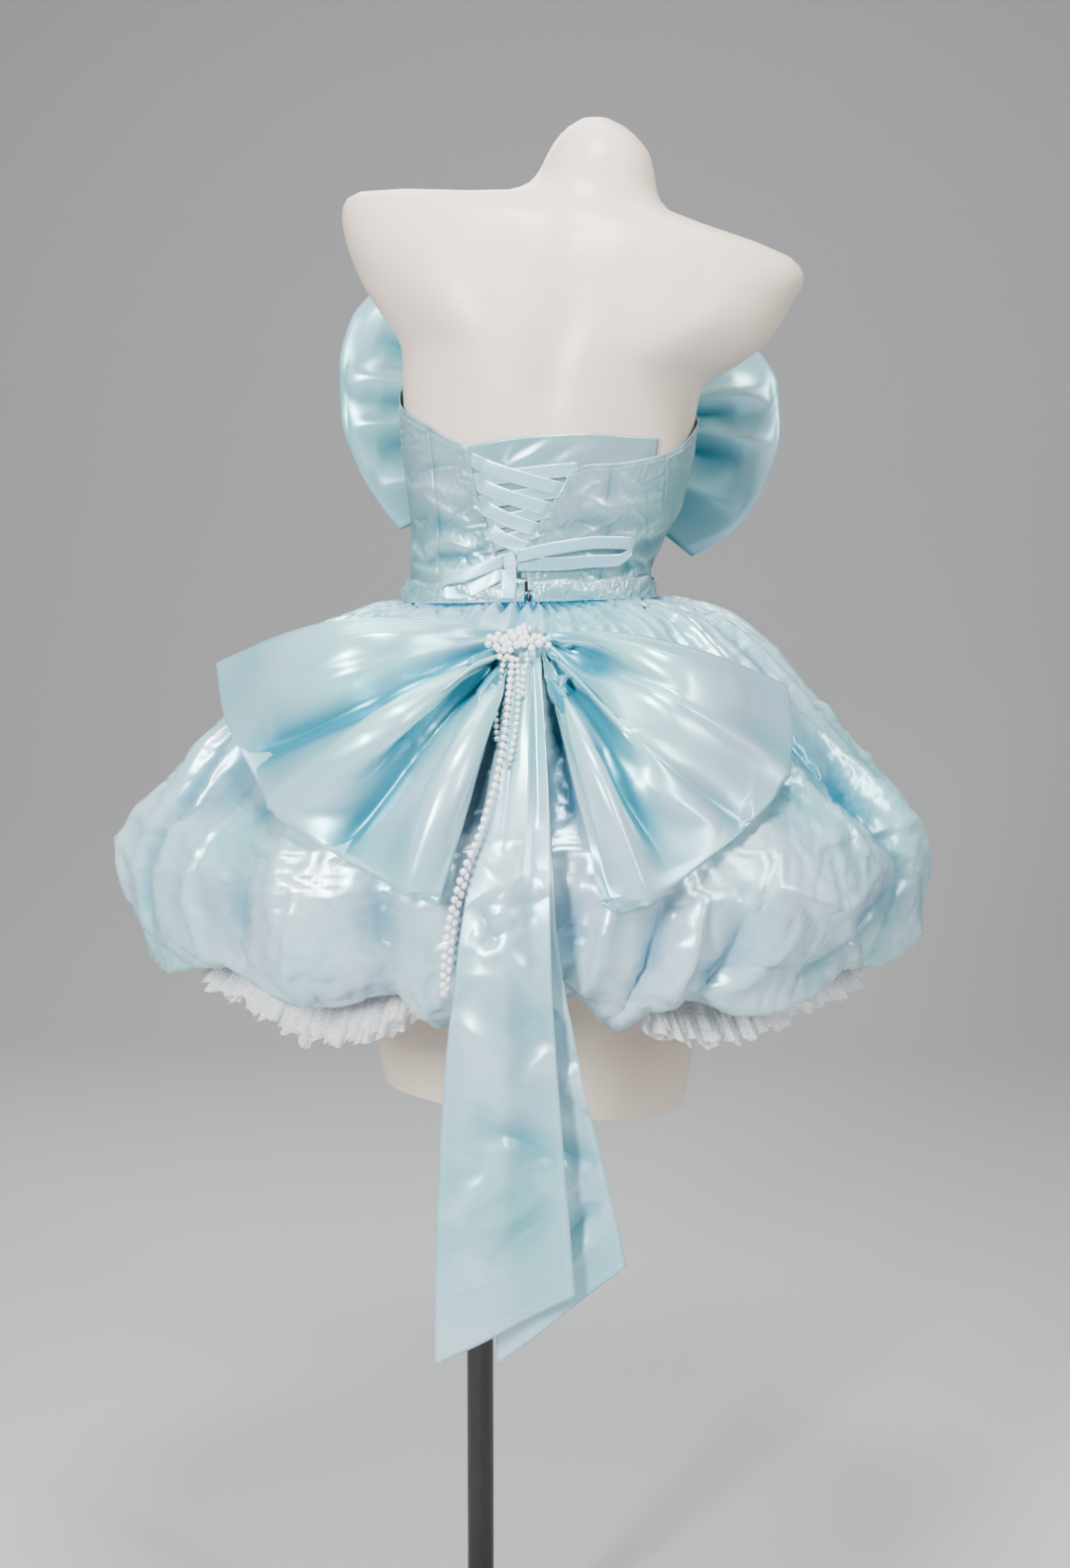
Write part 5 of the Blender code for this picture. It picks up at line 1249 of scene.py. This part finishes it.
# Creases of a tail: from u and v to u and v, its width and its depth, + towards the viewer.
TAIL_FOLDS = [
    Fold(0.30, 0.02, 0.36, 0.40, 0.007, -0.004), Fold(0.62, 0.02, 0.66, 0.46, 0.008, 0.005),
    Fold(0.80, 0.03, 0.84, 0.34, 0.006, -0.004), Fold(0.02, 0.62, 0.62, 0.68, 0.016, 0.005),
    Fold(0.20, 0.72, 0.95, 0.80, 0.014, -0.005), Fold(0.05, 0.86, 0.60, 0.78, 0.013, 0.005),
    Fold(0.40, 0.52, 0.95, 0.61, 0.014, 0.005), Fold(0.10, 0.46, 0.60, 0.56, 0.012, -0.005),
    Fold(0.70, 0.70, 0.98, 0.66, 0.010, 0.004), Fold(0.35, 0.92, 0.90, 0.86, 0.012, -0.004),
    Fold(0.05, 0.38, 0.45, 0.44, 0.012, 0.003), Fold(0.50, 0.36, 0.52, 0.98, 0.018, 0.004),
]
chance = np.random.default_rng(3)
for name, rows in (("back_bow_tail_front", FRONT_TAIL), ("back_bow_tail_rear", REAR_TAIL)):
    u, v = np.meshgrid(np.linspace(1, 0, TAIL_COLUMNS), np.linspace(0, 1, TAIL_LINES))
    grid = tail(rows, u, v)
    pleats = 0.0018 * np.exp(-v / 0.20) * np.minimum(1, v * 25) * np.sin(2 * math.pi * 2.5 * u)
    grid[..., 1] += pleats
    small = [Fold(*chance.uniform((0, 0.30, 0, 0.30), (1, 0.97, 1, 0.97)), chance.uniform(0.005, 0.009),
                  chance.uniform(-0.0018, 0.0026)) for _ in range(SMALL_TAIL_FOLDS)]
    small = [fold._replace(to_out=fold.out + 0.12 * (fold.to_out - fold.out)) for fold in small]
    for fold in TAIL_FOLDS + small:
        grid = press(grid, tail(rows, *fold_line(fold, 8)), fold.width, fold.depth)
    # Painted shade: the tail is coloured darker down in its creases, never down to the full fold colour.
    relief = 0.2 + 0.8 * painted_fold_shade(grid, 0.004)
    piece = place(name.replace("tail", "tail_satin"), cloth_mesh(name, grid, relief), bow_satin,
                  "satin", name)
    thin_shell(piece, BOW_THICKNESS)
    lifted = grid + normals(grid) * (BOW_THICKNESS / 2 + THREAD / 2)
    loop_lines += [lifted[4:, 2], lifted[4:, -3], lifted[-4, 2:-2]]
stitches("bow_edge_stitches", loop_lines)

# ---------------------------------------------------------------- lacing
# One length of pale satin ribbon, crossed through worked slits in the two back edges from the
# top down and tied in a small bow over the waistband, one loop pulled out far to the right.
RIBBON_THICKNESS, LACE_WIDTH = 0.0006, 0.0115
LACE_LAYER, LACE_STEP, LACE_INSET, LACE_TUCK = 0.0053, 0.0017, 2.6, 0.0022
LACE_LEVELS = [
    Gap(0.104, 26.4, -12.4), Gap(0.086, 25.6, -10.6), Gap(0.068, 23.0, -6.8),
    Gap(0.050, 19.6, -2.6), Gap(0.033, 16.4, 0.4),
]
Stop = namedtuple("Stop", "place angle height out")
RIGHT_LOOP = [
    (4.2, 0.0265, 0.0105), (-12, 0.0350, 0.0125), (-30, 0.0420, 0.0140),
    (-43, 0.0430, 0.0146), (-48.5, 0.0370, 0.0135), (-44, 0.0270, 0.0100),
    (-30, 0.0245, 0.0078), (-14, 0.0210, 0.0074), (4.2, 0.0195, 0.0071),
]
LEFT_LOOP = [
    (10.2, 0.0225, 0.0118), (19, 0.0150, 0.0128), (28, 0.0085, 0.0140),
    (35.5, 0.0060, 0.0146), (39.6, 0.0000, 0.0130), (36.0, -0.0070, 0.0098),
    (28, -0.0060, 0.0078), (19, 0.0040, 0.0076), (10.2, 0.0155, 0.0076),
]
LEFT_END = [(9.8, 0.0138, 0.0092), (17, 0.0045, 0.0092), (26, -0.0050, 0.0094)]
RIGHT_END = [(7.4, 0.0146, 0.0108), (7.0, 0.0010, 0.0108), (7.4, -0.0100, 0.0104)]
LACE_KNOT = Knot(0.0155, 0.0851, 0.0215, 0.0056, 0.0034, 0.0068, 8, -4)

ribbon_satin, shader, wire = new_finish(
    "ribbon_satin", Metallic=0.25, Specular_IOR_Level=0.7, Coat_Weight=0.3, Coat_Roughness=0.2,
    Sheen_Weight=0.2)
cloth = wire.node("TexCoord", output="UV")
stretched = wire.node("Mapping", inputs={"Vector": cloth, "Scale": (120, 2600, 1)})
floats = stretched.noise(1.0, 3.0)
tone = cloth.noise(60.0, 2.0)
split = wire.node("SeparateXYZ", inputs={"Vector": cloth}, output="X")
from_middle = ((split - LACE_WIDTH / 2) * (2 / LACE_WIDTH)) ** 2
# Painted highlight: the ribbon is paler along both edges, where they catch the light.
painted_edge_highlight = ((from_middle - 0.74) * 8).clamped()
body = tone.blend((0.20, 0.56, 0.68), (0.42, 0.72, 0.82))
painted_edge_highlight.blend(body, (0.70, 0.86, 0.92)).into(shader, "Base Color")
(floats * 0.18 + 0.20).into(shader, "Roughness")
floats.bump(0.00006).into(shader, "Normal")


def ribbon(stops, lines, twist=False, tuck=None):
    """A ribbon over the back through stops of angle, height and distance out. It lies flat, or
    where twist is set it keeps its width upright while it doubles back. Its ends come down to
    the distance tuck, under the panels' edges."""
    table = [Stop(i / (len(stops) - 1), *stop) for i, stop in enumerate(stops)]
    across, v = np.meshgrid(np.linspace(-0.5, 0.5, 9), np.linspace(0, 1, lines))
    here, before, after = read(table, v), read(table, v - 0.02), read(table, v + 0.02)
    run = np.radians(after.angle - before.angle) * BACK_RADIUS
    climb = after.height - before.height
    length = np.maximum(np.hypot(run, climb), 1e-6)
    if twist:
        run, climb, length = 1.0, 0.0, 1.0
    width = LACE_WIDTH * across
    out = here.out + 0.0003 * np.sin(7 * v + 3 * across)
    if tuck is not None:
        risen = np.clip((np.minimum(v, 1 - v) - 0.06) / 0.12, 0, 1)
        out = tuck + (out - tuck) * risen**2 * (3 - 2 * risen)
    angle = here.angle - np.degrees(width * climb / length / BACK_RADIUS)
    return figure(here.height + width * run / length, angle, out)


def ribbon_piece(name, grid, node):
    """One stretch of the ribbon, which stands for the solid of that name."""
    mesh = sheet_mesh(name, grid)
    piece = place(name, mesh, ribbon_satin, "ribbon", node)
    thin_shell(piece, RIBBON_THICKNESS)


for level in range(len(LACE_LEVELS) - 1):
    high, low = LACE_LEVELS[level], LACE_LEVELS[level + 1]
    middle = (high.height + low.height) / 2
    under = [(low.left + LACE_INSET, low.height, LACE_LAYER - 0.0006),
             ((low.left + high.right) / 2, middle, LACE_LAYER - 0.0006),
             (high.right - LACE_INSET, high.height, LACE_LAYER - 0.0006)]
    over = [(high.left + LACE_INSET, high.height, LACE_LAYER + LACE_STEP),
            ((high.left + low.right) / 2, middle - 0.003, LACE_LAYER + LACE_STEP),
            (low.right - LACE_INSET, low.height - 0.002, LACE_LAYER + LACE_STEP)]
    for way, stops in (("under", under), ("over", over)):
        ribbon_piece(f"lace_ribbon_{level + 1}_{way}", ribbon(stops, 48, tuck=LACE_TUCK),
                     f"lace_{level + 1}_{way}")
for side, stops, lines in (("right", RIGHT_LOOP, 120), ("left", LEFT_LOOP, 100)):
    ribbon_piece(f"lace_ribbon_loop_{side}", ribbon(stops, lines, twist=True), f"lace_bow_loop_{side}")
for side, stops in (("left", LEFT_END), ("right", RIGHT_END)):
    ribbon_piece(f"lace_ribbon_end_{side}", ribbon(stops, 40), f"lace_end_{side}")
tie = place("lace_ribbon_knot", knot_mesh("lace_ribbon_knot", LACE_KNOT, 2.5, 0.0004), ribbon_satin,
            "ribbon", "lace_bow_knot")

# ---------------------------------------------------------------- pearls
# Glass pearls on nylon thread: a long string looped from the bow's knot down beside the tails,
# and a clump of rosettes sewn over the knot with short strings hanging from it.
PEARL, PEARL_PITCH, NYLON = 0.0060, 0.0074, 0.0004
Point = namedtuple("Point", "place x y height")
STRAND = [
    Point(0.00, 0.0058, 0.2046, -0.0561), Point(0.10, 0.0080, 0.2450, -0.0980),
    Point(0.20, 0.0120, 0.2795, -0.138), Point(0.30, 0.0230, 0.3060, -0.180),
    Point(0.38, 0.0400, 0.3250, -0.224), Point(0.45, 0.0490, 0.3300, -0.266),
    Point(0.505, 0.0515, 0.3300, -0.298), Point(0.535, 0.0515, 0.3240, -0.309),
    Point(0.565, 0.0500, 0.3150, -0.307), Point(0.60, 0.0480, 0.3105, -0.290),
    Point(0.68, 0.0420, 0.3095, -0.246), Point(0.77, 0.0290, 0.2985, -0.204),
    Point(0.85, 0.0180, 0.2710, -0.162), Point(0.93, 0.0125, 0.2420, -0.120),
    Point(1.00, 0.0103, 0.2190, -0.092),
]
pearl, shader, wire = new_finish(
    "glass_pearl", Specular_IOR_Level=0.7, Coat_Weight=0.6, Coat_Roughness=0.08, Subsurface_Weight=0.1)
spot = wire.node("TexCoord", output="Object")
lustre = spot.noise(160.0, 2.0)
lustre.blend((0.80, 0.80, 0.78), (0.92, 0.90, 0.90)).into(shader, "Base Color")
(lustre * 0.2 + 0.14).into(shader, "Roughness")

t = np.linspace(0, 1, 420)
row = read(STRAND, t)
strand_line = np.stack([row.x, row.y, WAIST + row.height], axis=-1)


def string_of_pearls(name, lines, width, pitch):
    """Pearls along lines of points and the thread that they are strung on, as one mesh."""
    beads = beads_on(name, lines, pearl, Spacing=pitch, Width=width, Length=width,
                     Unevenness=0.06, Sides=12)
    string = beads_on(name + "_thread", lines, pearl, Spacing=pitch / 4, Width=NYLON,
                      Length=pitch / 3, Unevenness=0.0, Sides=5)
    both = bmesh.new()
    both.from_mesh(beads)
    both.from_mesh(string)
    mesh = bpy.data.meshes.new(name)
    both.to_mesh(mesh)
    both.free()
    mesh.shade_smooth()
    return mesh


strand = place("pearl_string", string_of_pearls("pearl_string", [strand_line], PEARL, PEARL_PITCH),
               pearl, "pearl", "pearl_strand")

BROOCH = Knot(0.002, 0.1946, -0.0446, 0.0240, 0.0070, 0.0150, 0, 38)
Rosette = namedtuple("Rosette", "x up petals radius pearl")
ROSETTES = [
    Rosette(0.0185, 0.001, 5, 0.0060, 0.0062), Rosette(0.0030, 0.002, 6, 0.0068, 0.0068),
    Rosette(-0.0110, -0.001, 5, 0.0060, 0.0062), Rosette(-0.0215, 0.001, 4, 0.0050, 0.0054),
    Rosette(0.0105, -0.010, 5, 0.0052, 0.0054), Rosette(-0.0050, 0.013, 4, 0.0046, 0.0052),
]


def on_brooch(x, up, out):
    """A point over the clump's mound: across, up its slope and out from it."""
    tilt = math.radians(BROOCH.tilt)
    mound = BROOCH.half_depth * 0.6 * max(0.0, 1 - (x / 0.026)**2 - (up / 0.017)**2)**0.5 + out
    return (BROOCH.x + x, BROOCH.y + mound * math.cos(tilt) - up * math.sin(tilt),
            WAIST + BROOCH.height + mound * math.sin(tilt) + up * math.cos(tilt))


clump = bmesh.new()
for rosette in ROSETTES:
    turns = 2 * math.pi * np.arange(rosette.petals) / rosette.petals + rosette.x * 40
    petals = rosette.radius * np.stack([np.cos(turns), np.sin(turns), 0 * turns], axis=-1)
    for x, up, out in [(0.0, 0.0, 0.0015), *petals]:
        middle = on_brooch(rosette.x + x, rosette.up + up, 0.0012 + out)
        made = bmesh.ops.create_uvsphere(clump, u_segments=16, v_segments=10, radius=rosette.pearl / 2)
        bmesh.ops.translate(clump, verts=made["verts"], vec=Vector(middle) - Vector((POLE_SHIFT, 0, 0)))
short_strings = []
for x, drop, sway in ((0.0125, 0.060, 0.0035), (0.0020, 0.074, -0.0035), (-0.0060, 0.026, 0.001)):
    t = np.linspace(0, 1, 40)
    height = BROOCH.height - 0.012 - drop * t
    over = read(FRONT_TAIL, np.interp(-height, [0.0552, 0.0860, 0.125, 0.165], [0, 1, 2, 3])).y
    across = x + 0.002 * t + sway * np.sin(3 * t)
    short_strings.append(np.stack([across, over + 0.008 + 0.002 * (1 - t), WAIST + height], axis=-1))
hanging = string_of_pearls("short_strings", short_strings, 0.0046, 0.0062)
clump.from_mesh(hanging)
clump_mesh = bpy.data.meshes.new("pearl_clump")
clump.to_mesh(clump_mesh)
clump.free()
clump_mesh.shade_smooth()
place("pearl_clump", clump_mesh, pearl, "pearl", "pearl_brooch")
